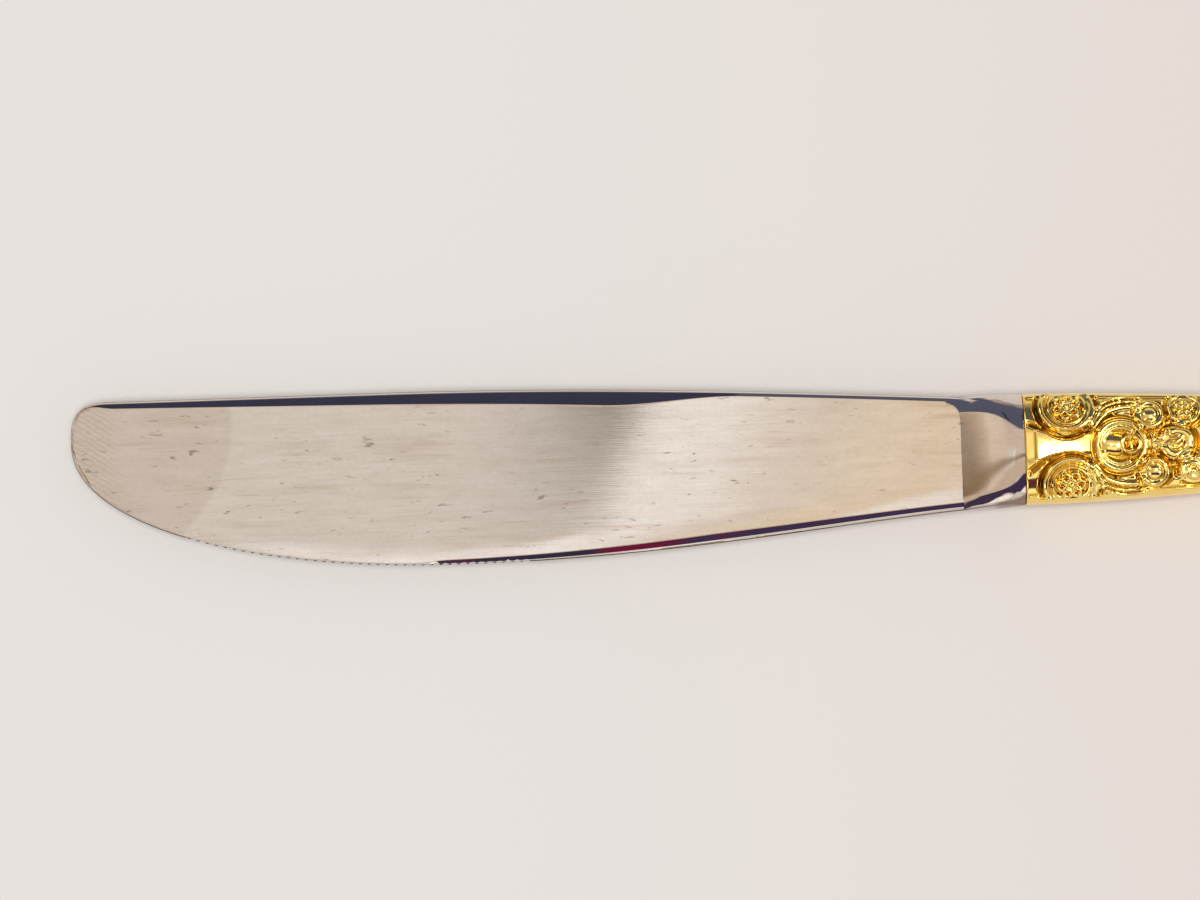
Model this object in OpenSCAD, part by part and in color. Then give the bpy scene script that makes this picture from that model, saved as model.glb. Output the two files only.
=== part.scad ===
// Table knife with a forged steel blade in a hollow, pressed handle.
// The blade, its bolster and its tang are one forging. Two pressed half shells meet on the
// blade's middle plane, a line of solder joins their rims, and cement holds the tang inside them.
// The knife lies on its back shell: X runs from nose to butt, Y from edge to spine, Z up.

/* [Blade outline] */
// Length of the blade from the handle's mouth to the nose
blade_l = 119; // [105:1:130]
// Height of the straight back above the handle's axis
spine_h = 9.9; // [8.5:0.1:11.5]
// Depth of the belly below the handle's axis
belly_h = 12; // [9.5:0.1:14]
// Distance from the mouth to the deepest point of the belly
belly_at = 71; // [60:1:78]
// Distance from the mouth at which the back runs straight
spine_at = 80; // [60:1:90]
// Height of the foremost point of the nose above the handle's axis
nose_h = 4.6; // [2:0.1:6]
// Length of the rounded corner between back and nose
corner_l = 5.5; // [4:0.1:9]

/* [Blade section] */
// Thickness along the back at the bolster
heel_t = 2.4; // [2.1:0.1:3]
// Thickness along the back at the nose
nose_t = 1.6; // [1.4:0.1:2]
// Thickness of the panel above the cutting edge at the bolster
rim_t = 1.2; // [1.1:0.05:1.5]
// Thickness of the blunt cutting edge
edge_t = 0.2; // [0.1:0.05:0.3]
// Width of the edge bevel
edge_bevel = 1; // [0.5:0.1:1.5]
// Width of the back bevel beside the bolster
spine_bevel = 0.45; // [0.3:0.05:0.8]
// Widest part of the back bevel
spine_bevel_wide = 1.5; // [0.8:0.1:2]
// Distance from the mouth at which the back bevel starts to widen
bevel_from = 35; // [20:1:45]

/* [Serration] */
// Distance from the mouth to the first notch
serration_from = 62; // [55:1:75]
// Length of the row of notches along the blade
serration_l = 43; // [20:1:44]
// Distance between notches
serration_pitch = 1.12; // [1:0.02:1.6]
// Width of one notch
notch_w = 0.84; // [0.6:0.02:0.9]
// Depth of one notch
notch_d = 0.3; // [0.15:0.05:0.35]

/* [Bolster and tang] */
// Length of the bolster from the mouth to the end of the flat panel
bolster_l = 8.2; // [6:0.1:11]
// Length of the level crown of the bolster
crown_l = 3.2; // [1.5:0.1:4]
// Length of the tang inside the handle
tang_l = 46; // [30:1:60]
// Width of the tang at the bolster
tang_w = 6.4; // [4:0.1:7.5]
// Width of the tang at its end
tang_end_w = 4.4; // [3:0.1:5]
// Thickness of the tang
tang_t = 2.6; // [1.5:0.1:3.4]
// Radius of the keying notches in the tang's edges
tang_notch_r = 0.9; // [0.4:0.1:1.2]

/* [Handle] */
// Length of the handle from mouth to butt
handle_l = 100; // [88:1:115]
// Width of the handle at the mouth
mouth_w = 13.9; // [12.5:0.1:15.5]
// Thickness of the handle at the mouth
mouth_t = 8.2; // [7.4:0.1:9.5]
// Width of the handle at its waist
waist_w = 9.8; // [9:0.1:12]
// Thickness of the handle at its waist
waist_t = 7.6; // [7:0.1:8.5]
// Distance from the mouth to the waist
waist_at = 52; // [46:1:58]
// Width of the handle at the butt's bulge
butt_w = 18; // [14:0.1:19]
// Thickness of the handle at the butt's bulge
butt_t = 9.4; // [8.4:0.1:10]
// Distance from the mouth to the butt's bulge
butt_at = 85; // [80:1:86]
// Wall of the pressed shells
wall = 0.8; // [0.6:0.05:1]
// Thickness of the solder between the shells' rims
solder_t = 0.2; // [0.1:0.05:0.4]

/* [Ornament] */
// Height of the raised cords above the shell
cord_h = 0.34; // [0.2:0.02:0.4]
// Width of the leaves
leaf_w = 1.4; // [0.8:0.1:1.8]
// Radius of the rosettes beside the axis at the mouth
rosette_r = 2.8; // [2.4:0.1:3]
// Radius of the roundels on the axis at the mouth
roundel_r = 3; // [2.6:0.1:3.2]
// Length of one repeat of the ornament along the handle
repeat_l = 15.7; // [14:0.1:16]
// Distance of the rosettes from the crown, measured round the mouth's section
pair_round = 4.4; // [4:0.1:4.8]
// Distance from the mouth to the first pair of rosettes
rosette_at = 5.3; // [5:0.1:6]
// Distance from a pair of rosettes to the roundel behind it
roundel_step = 6.7; // [6:0.1:7.5]
// Radius of the large rosette on the butt
butt_rosette_r = 5; // [4:0.1:5.4]

/* [Hidden] */

// Clearance between pieces that are cemented or soldered together
bond_gap = 0.04;
// How far a cut runs past the face that it opens
overrun = 1;
// Step for the slope of an outline
slope_step = 0.05;

// Shape of the curves: exponents and shares, all without a unit
section_e = 2.5;
corner_e = 3.2;
nose_e = 2.1;
belly_e = 0.78;
bevel_e = 0.6;
spine_back_share = 0.48;
edge_limit_share = 0.45;
nose_end_share = 0.9995;
butt_end_angle = 87;
butt_end_e = 0.5;
butt_repeat_share = 0.74;

// Medallions: radii as shares of the rim's, rises as shares of the cords' height, from boss to skirt
dish_shares = [0.22, 0.5, 0.76, 0.92, 1.1];
dish_rise_shares = [0.5, 0.9, 0.05, 1, -1];
dome_shares = [0.5, 0.85, 1.1];
dome_rise_shares = [0.85, 0.45, -1];
petal_row = 1;
petal_dip_share = 0.75;
boss_shift_share = 0.3;
rosette_petals = 6;
butt_petals = 8;
// Places of the ornament, as shares of the sizes that they follow
girth_share = 0.85;
leaf_from_share = 1.5;
leaf_end_share = 1.7;
leaf_start_share = 0.4;
leaf_from_angle = 140;
leaf_to_angle = 52;
knob_share = 0.25;
bud_share = 0.55;
bud_step_share = 0.48;
tang_notch_shares = [0.3, 0.55, 0.8];

// Facets along and across the swept pieces
bolster_n = 12;
heel_n = 12;
belly_n = 16;
corner_n = 12;
blade_across_n = 8;
body_n = 18;
butt_n = 7;
arc_n = 12;
core_n = 9;
core_arc_n = 8;
rosette_n = 12;
roundel_n = 12;
butt_rosette_n = 16;
leaf_n = 6;
bud_n = 10;
bead_n = 6;

// The belly's depth sets the lower side of the box and the back's height the upper side
shift_x = (blade_l - handle_l) / 2;
shift_y = (belly_h - spine_h) / 2;
shift_z = butt_t / 2 + cord_h;

notch_r = (pow(notch_w / 2, 2) + pow(notch_d, 2)) / (2 * notch_d);
notch_count = floor(serration_l / serration_pitch);
repeat_count = 1 + floor((butt_repeat_share * handle_l - rosette_at) / repeat_l);

function clamp01(v) = min(1, max(0, v));
function mix(a, b, s) = a + (b - a) * s;
function ease(s) = (1 - cos(180 * clamp01(s))) / 2;
function swell(v, e) = sign(v) * pow(abs(v), e);
function falloff(s, e) = pow(1 - pow(clamp01(s), e), 1 / e);

// Outline of the blade: heights of back and edge at a distance d in front of the mouth
function spine_y(d) =
    d <= blade_l - corner_l
        ? mix(mouth_w / 2, spine_h, sin(90 * clamp01((d - bolster_l) / (spine_at - bolster_l))))
        : mix(nose_h, spine_h, falloff((d - blade_l + corner_l) / corner_l, corner_e));

function edge_y(d) =
    d <= belly_at
        ? -mix(mouth_w / 2, belly_h, ease(pow(clamp01(d / belly_at), belly_e)))
        : mix(nose_h, -belly_h, falloff((d - belly_at) / (blade_l - belly_at), nose_e));

function spine_slope(d) = (spine_y(d + slope_step) - spine_y(d - slope_step)) / (2 * slope_step);
function edge_slope(d) = (edge_y(d + slope_step) - edge_y(d - slope_step)) / (2 * slope_step);

// Half the panel's thickness: a plane that thins toward the nose and toward the edge
function panel_z(d, y) =
    heel_t / 2
    - (heel_t - nose_t) / 2 * d / blade_l
    - (heel_t - rim_t) / 2 * (spine_h - y) / (spine_h + belly_h);

function back_bevel(d) =
    mix(spine_bevel, spine_bevel_wide,
        sin(180 * pow(clamp01((d - bevel_from) / (blade_l - bevel_from)), bevel_e)));

// Height of the crease between the back bevel and the panel, and of that above the edge bevel
function back_crease(d) =
    spine_y(d) - min(back_bevel(d) * sqrt(1 + pow(spine_slope(d), 2)),
                     edge_limit_share * (spine_y(d) - edge_y(d)));
function edge_crease(d) =
    edge_y(d) + min(edge_bevel * sqrt(1 + pow(edge_slope(d), 2)),
                    edge_limit_share * (spine_y(d) - edge_y(d)));

// Half the bolster's thickness: a ramp up from the panel, level along the crown
function crown_z(d) =
    d >= bolster_l ? 0
    : mix(panel_z(bolster_l, 0), mouth_t / 2, cos(90 * clamp01((d - crown_l) / (bolster_l - crown_l))));

function bolster_z(d, y) =
    let (middle = (spine_y(d) + edge_y(d)) / 2, half = (spine_y(d) - edge_y(d)) / 2)
    crown_z(d) * falloff(abs(y - middle) / half, section_e);

function blade_side(d) =
    let (a = back_crease(d), b = edge_crease(d))
    concat(
        [[spine_y(d), max(spine_back_share * panel_z(d, a), bolster_z(d, spine_y(d)))]],
        [for (i = [0 : blade_across_n])
            let (y = mix(a, b, ease(i / blade_across_n)))
            [y, max(panel_z(d, y), bolster_z(d, y))]],
        [[edge_y(d), max(edge_t / 2, bolster_z(d, edge_y(d)))]]);

blade_stations = concat(
    [for (i = [0 : bolster_n - 1]) bolster_l * i / bolster_n],
    [for (i = [0 : heel_n - 1]) mix(bolster_l, belly_at, i / heel_n)],
    [for (i = [0 : belly_n - 1]) mix(belly_at, blade_l - corner_l, i / belly_n)],
    [for (i = [0 : corner_n]) mix(blade_l - corner_l, blade_l,
                                  nose_end_share * sin(90 * i / corner_n))]);

// Handle: half width and half thickness at a distance x behind the mouth
function handle_half_w(x) =
    x <= waist_at
        ? mix(mouth_w, waist_w, ease(x / waist_at)) / 2
        : mix(waist_w, butt_w, ease((x - waist_at) / (butt_at - waist_at))) / 2;
function handle_half_t(x) =
    x <= waist_at
        ? mix(mouth_t, waist_t, ease(x / waist_at)) / 2
        : mix(waist_t, butt_t, ease((x - waist_at) / (butt_at - waist_at))) / 2;

// Places along the handle as [distance, half width, half thickness], set in by a wall or gap
function handle_stations(inset, start, n) = concat(
    [for (i = [0 : n])
        let (x = mix(start, butt_at, i / n))
        [x, handle_half_w(x) - inset, handle_half_t(x) - inset]],
    [for (j = [1 : butt_n])
        let (a = butt_end_angle * j / butt_n)
        [mix(butt_at, handle_l - inset, sin(a)),
         (butt_w / 2 - inset) * cos(a),
         (butt_t / 2 - inset) * pow(cos(a), butt_end_e)]]);

function half_arc(s, base, n) =
    [for (i = [0 : n])
        let (a = 180 * i / n)
        [s[0], s[1] * swell(cos(a), 2 / section_e),
         base + (s[2] - base) * swell(sin(a), 2 / section_e)]];

// A place on the outer face of the front shell is a distance behind the mouth and a distance round
// the section from the crown; these give its point and the face's normal there
function butt_falloff(x) = falloff((x - butt_at) / (handle_l - butt_at), 2);
function face_half_w(x) = x <= butt_at ? handle_half_w(x) : butt_w / 2 * butt_falloff(x);
function face_half_t(x) = x <= butt_at ? handle_half_t(x) : butt_t / 2 * pow(butt_falloff(x), butt_end_e);
function face_point(p) =
    let (w = face_half_w(p[0]),
         t = face_half_t(p[0]),
         across = sin(90 * p[1] / (girth_share * (w + t))))
    [p[0], w * across, mix(solder_t / 2, t, falloff(abs(across), section_e))];
function unit(v) = v / norm(v);
function face_normal(p) =
    unit(cross(face_point(p + [slope_step, 0]) - face_point(p - [slope_step, 0]),
               face_point(p + [0, slope_step]) - face_point(p - [0, slope_step])));

function spiral(centre, r0, r1, a0, a1, n) =
    [for (i = [0 : n])
        let (a = mix(a0, a1, i / n), r = mix(r0, r1, i / n))
        centre + r * [cos(a), sin(a)]];

// Moves the knife from the mouth's middle to the middle of the foot of its box
module place() {
    translate([shift_x, shift_y, shift_z]) children();
}

// Solid swept through sections that run down one side and back up the other
module sweep_sections(rings, half) {
    n = 2 * half;
    last = (len(rings) - 1) * n;
    polyhedron(
        points = [for (r = rings) each r],
        faces = concat(
            [for (k = [0 : len(rings) - 2]) for (i = [0 : n - 1])
                let (j = (i + 1) % n) each [
                    [k * n + i, k * n + j, (k + 1) * n + j],
                    [k * n + i, (k + 1) * n + j, (k + 1) * n + i]]],
            [for (i = [0 : half - 2]) each [
                [i, n - 1 - i, n - 2 - i],
                [i, n - 2 - i, i + 1]]],
            [for (i = [0 : half - 2]) each [
                [last + i, last + n - 2 - i, last + n - 1 - i],
                [last + i, last + i + 1, last + n - 2 - i]]]));
}

function there_and_back(side) =
    concat(side, [for (i = [len(side) - 1 : -1 : 0]) [side[i][0], side[i][1], -side[i][2]]]);

module blade_body() {
    rings = [for (d = blade_stations) there_and_back([for (p = blade_side(d)) [-d, p[0], p[1]]])];
    sweep_sections(rings, blade_across_n + 3);
}

// Scalloped notches along the belly
module serration() {
    for (i = [0 : notch_count]) {
        d = serration_from + i * serration_pitch;
        out = unit([-edge_slope(d), -1]);
        centre = [-d, edge_y(d)] + (notch_r - notch_d) * out;
        translate(concat(centre, -heel_t / 2)) cylinder(h = heel_t, r = notch_r, $fn = 20);
    }
}

// Flat tang with keying notches along both edges
module tang(gap) {
    linear_extrude(height = tang_t + 2 * gap, center = true)
        difference() {
            polygon([
                [-crown_l / 2, tang_w / 2 + gap], [-crown_l / 2, -tang_w / 2 - gap],
                [tang_l + gap, -tang_end_w / 2 - gap], [tang_l + gap, tang_end_w / 2 + gap]]);
            for (share = tang_notch_shares)
                for (side = [-1, 1])
                    translate([share * tang_l, side * mix(tang_w, tang_end_w, share) / 2])
                        circle(r = tang_notch_r - gap, $fn = 24);
        }
}

module blade() {
    color("#c8c5bf") place() {
        difference() {
            blade_body();
            serration();
        }
        tang(0);
    }
}

// Half shell: outer and inner faces, flat rims and an open mouth
module shell_wall() {
    m = arc_n + 1;
    n = 2 * m;
    outer = handle_stations(0, bond_gap, body_n);
    inner = handle_stations(wall, bond_gap, body_n);
    count = len(outer);
    last = (count - 1) * n;
    polyhedron(
        points = [for (k = [0 : count - 1]) each concat(
            half_arc(outer[k], solder_t / 2, arc_n), half_arc(inner[k], solder_t / 2, arc_n))],
        faces = concat(
            [for (k = [0 : count - 2]) for (i = [0 : arc_n - 1])
                let (a = k * n + i, b = a + n) each [
                    [a, b + 1, a + 1], [a, b, b + 1],
                    [a + m, a + m + 1, b + m + 1], [a + m, b + m + 1, b + m]]],
            [for (k = [0 : count - 2])
                let (a = k * n, b = a + n) each [
                    [a, a + m, b + m], [a, b + m, b],
                    [a + m - 1, b + m - 1, b + n - 1], [a + m - 1, b + n - 1, a + n - 1]]],
            [for (i = [0 : arc_n - 1]) each [
                [i, i + 1, i + m + 1], [i, i + m + 1, i + m]]],
            [[for (i = [m - 1 : -1 : 0]) last + i]],
            [[for (i = [m : n - 1]) last + i]],
            [[last, last + m, last + n - 1, last + m - 1]]));
}

// A point of the ornament: a place on the face, raised along the face's normal
function raised(p, h) = face_point(p) + h * face_normal(p);

// Dished medallion: a boss, a band of petals and a raised rim, with its skirt sunk in the wall
module medallion(centre, r, petals, n, boss_shift, rim_shares, rise_shares) {
    count = len(rim_shares);
    points = concat(
        [raised(centre + [boss_shift, 0], cord_h)],
        [for (k = [0 : count - 1]) for (i = [0 : n - 1])
            let (a = 360 * i / n,
                 crest = k == petal_row ? petal_dip_share * (1 - cos(petals * a)) / 2 : 0)
            raised(centre + [boss_shift * (1 - rim_shares[k]), 0] + r * rim_shares[k] * [cos(a), sin(a)],
                   cord_h * (rise_shares[k] - crest))],
        [raised(centre, -cord_h)]);
    polyhedron(
        points = points,
        faces = concat(
            [for (i = [0 : n - 1]) [0, 1 + (i + 1) % n, 1 + i]],
            [for (k = [0 : count - 2]) for (i = [0 : n - 1])
                let (j = (i + 1) % n, a = 1 + k * n, b = a + n) each [
                    [a + i, a + j, b + j], [a + i, b + j, b + i]]],
            [for (i = [0 : n - 1])
                let (a = 1 + (count - 1) * n)
                [a + i, a + (i + 1) % n, len(points) - 1]]));
}

// Raised leaf along a path drawn on the face: a ridged strip, half sunk, that tapers at its start
module leaf_strip(path) {
    n = 3;
    count = len(path);
    points = [for (k = [0 : count - 1])
        let (up = face_normal(path[k]),
             along = unit(face_point(path[min(k + 1, count - 1)]) - face_point(path[max(k - 1, 0)])),
             across = unit(cross(along, up)),
             half = leaf_w / 2 * mix(leaf_start_share, 1, sin(90 * k / (count - 1))))
        each [
            raised(path[k], cord_h),
            face_point(path[k]) - half * across - cord_h * up,
            face_point(path[k]) + half * across - cord_h * up]];
    polyhedron(
        points = points,
        faces = concat(
            [for (k = [0 : count - 2]) for (i = [0 : n - 1])
                let (a = k * n, b = a + n, j = (i + 1) % n) each [
                    [a + i, b + j, b + i], [a + i, a + j, b + j]]],
            [[2, 1, 0], [for (i = [0 : n - 1]) (count - 1) * n + i]]));
}

// Knob of two beads on the face
module knob(from, to) {
    hull() {
        translate(face_point(from)) sphere(r = cord_h, $fn = bead_n);
        translate(face_point(to)) sphere(r = cord_h, $fn = bead_n);
    }
}

// Leaf that sweeps round a roundel and ends in a curled knob
module leaf(centre, r, side) {
    path = spiral(centre, leaf_from_share * r, leaf_end_share * r,
                  side * leaf_from_angle, side * leaf_to_angle, leaf_n);
    leaf_strip(path);
    knob(path[leaf_n], path[leaf_n] + knob_share * r * [1, -side]);
}

module ornament() {
    for (k = [0 : repeat_count - 1]) {
        pair_x = rosette_at + k * repeat_l;
        ring_x = pair_x + roundel_step;
        pair_share = handle_half_w(pair_x) / handle_half_w(0);
        ring_share = handle_half_w(ring_x) / handle_half_w(0);
        ring_r = roundel_r * ring_share;
        for (side = [-1, 1]) {
            medallion([pair_x, side * pair_share * pair_round], rosette_r * pair_share,
                      rosette_petals, rosette_n, 0, dish_shares, dish_rise_shares);
            leaf([ring_x, 0], ring_r, side);
        }
        medallion([ring_x, 0], ring_r, 0, roundel_n, boss_shift_share * ring_r,
                  dish_shares, dish_rise_shares);
        if (k < repeat_count - 1)
            medallion([ring_x + bud_step_share * repeat_l, 0], bud_share * ring_r, 0, bud_n, 0,
                      dome_shares, dome_rise_shares);
    }
    medallion([butt_at, 0], butt_rosette_r, butt_petals, butt_rosette_n, 0,
              dish_shares, dish_rise_shares);
}

module half_shell() {
    shell_wall();
    ornament();
}

module handle_front_shell() {
    color("#d9a93a") place() half_shell();
}

module handle_back_shell() {
    color("#cf9f33") place() mirror([0, 0, 1]) half_shell();
}

function plan(inset, start) =
    let (s = handle_stations(inset, start, body_n))
    concat([for (q = s) [q[0], q[1]]], [for (i = [len(s) - 1 : -1 : 0]) [s[i][0], -s[i][1]]]);

module handle_seam_solder() {
    color("#b9b2a3") place()
        linear_extrude(height = solder_t - 2 * bond_gap, center = true)
            difference() {
                polygon(plan(0, bond_gap));
                polygon(plan(wall, -overrun));
            }
}

module handle_cement_core() {
    inset = wall + bond_gap;
    stations = handle_stations(inset, bond_gap, core_n);
    color("#9c968b") place() difference() {
        sweep_sections(
            [for (s = stations) there_and_back(half_arc(s, solder_t / 2, core_arc_n))],
            core_arc_n + 1);
        tang(bond_gap);
    }
}

blade();
handle_front_shell();
handle_back_shell();
handle_seam_solder();
handle_cement_core();
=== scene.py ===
"""Table knife: a satin steel blade in a hollow handle of pressed, gold-plated shells."""

from types import SimpleNamespace

import bpy
import numpy as np
from bpy.props import FloatProperty, FloatVectorProperty, IntProperty, PointerProperty
from bpy.types import Node, NodeSocket, Operator, Panel, PropertyGroup
from mathutils import Matrix, Vector


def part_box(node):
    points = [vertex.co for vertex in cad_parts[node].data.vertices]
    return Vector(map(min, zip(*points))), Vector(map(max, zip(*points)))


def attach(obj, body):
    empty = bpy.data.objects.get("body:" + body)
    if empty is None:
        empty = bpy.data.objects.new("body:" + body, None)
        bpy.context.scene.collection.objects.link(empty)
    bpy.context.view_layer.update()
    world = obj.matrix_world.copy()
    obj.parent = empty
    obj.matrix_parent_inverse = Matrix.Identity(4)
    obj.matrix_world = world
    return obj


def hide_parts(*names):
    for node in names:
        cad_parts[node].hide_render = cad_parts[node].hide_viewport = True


bl_info = {
    "name": "Table knife",
    "version": (1, 0, 0),
    "blender": (4, 5, 0),
    "location": "View3D > Sidebar > Knife",
    "description": "Dresses a table knife with its satin blade and its gold-plated handle",
    "category": "Object",
}

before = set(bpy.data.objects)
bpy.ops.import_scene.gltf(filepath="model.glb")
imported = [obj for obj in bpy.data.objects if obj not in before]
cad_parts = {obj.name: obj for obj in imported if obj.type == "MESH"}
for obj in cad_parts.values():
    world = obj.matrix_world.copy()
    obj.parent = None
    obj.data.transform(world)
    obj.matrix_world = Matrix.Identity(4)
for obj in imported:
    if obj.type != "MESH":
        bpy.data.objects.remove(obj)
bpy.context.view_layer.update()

MM = 0.001
DEGREE = float(np.radians(1))

# The middle of the handle's mouth in the row frame: every size below is measured from it
SHELL_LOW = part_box("handle_front_shell")[0]
SEAM_LOW, SEAM_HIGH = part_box("handle_seam_solder")
MOUTH = np.array([
    SHELL_LOW[0],
    (SEAM_LOW[1] + SEAM_HIGH[1]) / 2,
    (SEAM_LOW[2] + SEAM_HIGH[2]) / 2,
])


# Node helpers


def linear(text):
    """An sRGB hex colour as linear red, green, blue and alpha."""
    channels = [int(text[i:i + 2], 16) / 255 for i in (1, 3, 5)]
    return [c / 12.92 if c <= 0.04045 else ((c + 0.055) / 1.055) ** 2.4 for c in channels] + [1.0]


def paint(tone):
    """A colour with alpha, from sRGB hex text or from linear parts, which may be brighter than white."""
    return linear(tone) if isinstance(tone, str) else (*tone, 1.0)


def wire(tree, node, links):
    """Links or sets a node's inputs."""
    for key, value in links.items():
        source = value.outputs[0] if isinstance(value, Node) else value
        if isinstance(source, NodeSocket):
            tree.links.new(source, node.inputs[key])
        else:
            node.inputs[key].default_value = source


def add(tree, kind, links=None, **settings):
    """Adds one node with its settings, and links or sets its inputs."""
    node = tree.nodes.new(kind)
    for name, value in settings.items():
        setattr(node, name, value)
    wire(tree, node, links or {})
    return node


def maths(tree, operation, *values, clamp=False):
    """A Math node on up to three values."""
    return add(tree, "ShaderNodeMath", dict(enumerate(values)), operation=operation, use_clamp=clamp)


def limit(tree, value, start, end, low=0.0, high=1.0, curve="LINEAR"):
    """Low up to the start, high past the end and a ramp between them; the start may be the larger."""
    return add(tree, "ShaderNodeMapRange", {0: value, 1: start, 2: end, 3: low, 4: high},
               interpolation_type=curve)


def blend(tree, share, first, second):
    """The first colour where the share is 0 and the second where it is 1."""
    return add(tree, "ShaderNodeMix", {0: share, 6: first, 7: second}, data_type="RGBA").outputs[2]


def colour_ramp(tree, value, stops):
    """A colour that runs through the stops, each with its place and its colour."""
    node = add(tree, "ShaderNodeValToRGB", {0: value})
    elements = node.color_ramp.elements
    while len(elements) < len(stops):
        elements.new(1.0)
    for element, (place, tone) in zip(elements, stops):
        element.position = place
        element.color = paint(tone)
    return node


def noise(tree, place, size, detail, roughness=0.5, turn=0.0):
    """Noise with grains of a size in millimetres, or of three sizes along, across and up, turned about Z."""
    scale = 1.0
    if isinstance(size, tuple):
        place = add(tree, "ShaderNodeMapping", {
            "Vector": place, "Rotation": (0.0, 0.0, turn), "Scale": [1 / (part * MM) for part in size]})
    else:
        scale = 1 / (size * MM)
    return add(tree, "ShaderNodeTexNoise", {
        "Vector": place, "Scale": scale, "Detail": detail, "Roughness": roughness})


def mark(tree, name):
    """An attribute of the mesh, read by a material."""
    return add(tree, "ShaderNodeAttribute", attribute_name=name).outputs["Fac"]


def field(tree, name, kind="FLOAT"):
    """An attribute of the mesh, read by a node tree."""
    return add(tree, "GeometryNodeInputNamedAttribute", {"Name": name}, data_type=kind)


def store(tree, geometry, name, value):
    """Keeps a value as an attribute of the mesh."""
    return add(tree, "GeometryNodeStoreNamedAttribute", {"Geometry": geometry, "Name": name, "Value": value},
               data_type="FLOAT", domain="POINT")


def new_tree(name, inputs):
    """A geometry node tree with named inputs, and its input sockets."""
    tree = bpy.data.node_groups.new(name, "GeometryNodeTree")
    face = tree.interface
    face.new_socket("Geometry", in_out="OUTPUT", socket_type="NodeSocketGeometry")
    face.new_socket("Geometry", in_out="INPUT", socket_type="NodeSocketGeometry")
    for key, kind in inputs.items():
        if kind == "Distance":
            face.new_socket(key, in_out="INPUT", socket_type="NodeSocketFloat").subtype = "DISTANCE"
        else:
            face.new_socket(key, in_out="INPUT", socket_type=f"NodeSocket{kind}")
    return tree, add(tree, "NodeGroupInput").outputs


def dress(tree, geometry, material):
    """Ends a node tree with real geometry in its material."""
    real = add(tree, "GeometryNodeRealizeInstances", {"Geometry": geometry})
    dressed = add(tree, "GeometryNodeSetMaterial", {"Geometry": real, "Material": material})
    add(tree, "NodeGroupOutput", {"Geometry": dressed})


# Shape helpers


def mix(a, b, share):
    return a + (b - a) * share


def clip(share):
    return np.clip(share, 0.0, 1.0)


def ease(share):
    return (1 - np.cos(np.pi * clip(share))) / 2


def step(low, high, value):
    """A smooth rise from 0 at low to 1 at high."""
    share = clip((value - low) / (high - low))
    return share * share * (3 - 2 * share)


def falloff(share, power):
    """From 1 at the middle to 0 at the rim of a rounded form."""
    return (1 - clip(share) ** power) ** (1 / power)


def grid_quads(rows, columns, closed):
    """Faces of a grid of points; closed joins the last column to the first."""
    row = np.arange(rows - 1)[:, None]
    column = np.arange(columns if closed else columns - 1)[None, :]
    after = (column + 1) % columns
    corners = [row * columns + column, row * columns + after,
               (row + 1) * columns + after, (row + 1) * columns + column]
    return np.stack(np.broadcast_arrays(*corners), axis=-1).reshape(-1, 4).tolist()


def tube_faces(rows, columns):
    """Faces of a closed tube of points, with a lid on each end."""
    faces = grid_quads(rows, columns, closed=True)
    faces.append(list(range(columns)))
    faces.append(list(range((rows - 1) * columns, rows * columns))[::-1])
    return faces


def outward(points, faces):
    """The faces of a closed form, turned so that they point out of it."""
    volume = 0.0
    for face in faces:
        first = points[face[0]]
        for i in range(1, len(face) - 1):
            volume += np.dot(first, np.cross(points[face[i]], points[face[i + 1]]))
    return faces if volume > 0 else [face[::-1] for face in faces]


def solid_mesh(name, points, faces, attributes):
    """A mesh from points in millimetres about the mouth, with its point attributes."""
    mesh = bpy.data.meshes.new(name)
    mesh.from_pydata((points * MM + MOUTH).tolist(), [], faces)
    for key, values in attributes.items():
        kind, entry = ("FLOAT", "value") if values.ndim == 1 else ("FLOAT_VECTOR", "vector")
        layer = mesh.attributes.new(key, kind, "POINT")
        layer.data.foreach_set(entry, np.ascontiguousarray(values, dtype=np.float32).ravel())
    mesh.validate()
    mesh.shade_smooth()
    return mesh


def show(name, data):
    """Links an object for a mesh, a lamp or a camera at the origin."""
    piece = bpy.data.objects.new(name, data)
    bpy.context.scene.collection.objects.link(piece)
    return piece


def give_nodes(piece, tree, values):
    """Adds a node tree to a piece and sets its named inputs by their identifiers."""
    modifier = piece.modifiers.new(tree.name, "NODES")
    modifier.node_group = tree
    for item in tree.interface.items_tree:
        if item.item_type == "SOCKET" and item.name in values:
            modifier[item.identifier] = values[item.name]


def make_plain(piece, sharp_angle, kept):
    """Turns the piece's node trees into a plain mesh with the attributes that its material reads."""
    graph = bpy.context.evaluated_depsgraph_get()
    mesh = bpy.data.meshes.new_from_object(piece.evaluated_get(graph))
    piece.modifiers.clear()
    shaped = piece.data
    piece.data = mesh
    bpy.data.meshes.remove(shaped)
    mesh.name = piece.name
    for key in [layer.name for layer in mesh.attributes if not layer.is_required]:
        if key not in kept and not key.startswith("sharp") and key != "material_index":
            mesh.attributes.remove(mesh.attributes[key])
    mesh.shade_smooth()
    mesh.set_sharp_from_angle(angle=np.radians(sharp_angle))


def stands_for(piece, node):
    """Puts the piece in the place of its CAD node."""
    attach(piece, "root")
    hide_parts(node)


# Sizes and colours


def length(name, size, words):
    """A length property; size is in millimetres."""
    return FloatProperty(name=name, description=words, default=size * MM, unit="LENGTH", precision=5)


def angle(name, size, words):
    """An angle property; size is in degrees."""
    return FloatProperty(name=name, description=words, default=np.radians(size), subtype="ANGLE")


def colour(name, text, words):
    """A colour property; text is its sRGB hex value."""
    return FloatVectorProperty(
        name=name, description=words, default=linear(text), size=4, min=0.0, max=1.0, subtype="COLOR")


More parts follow.
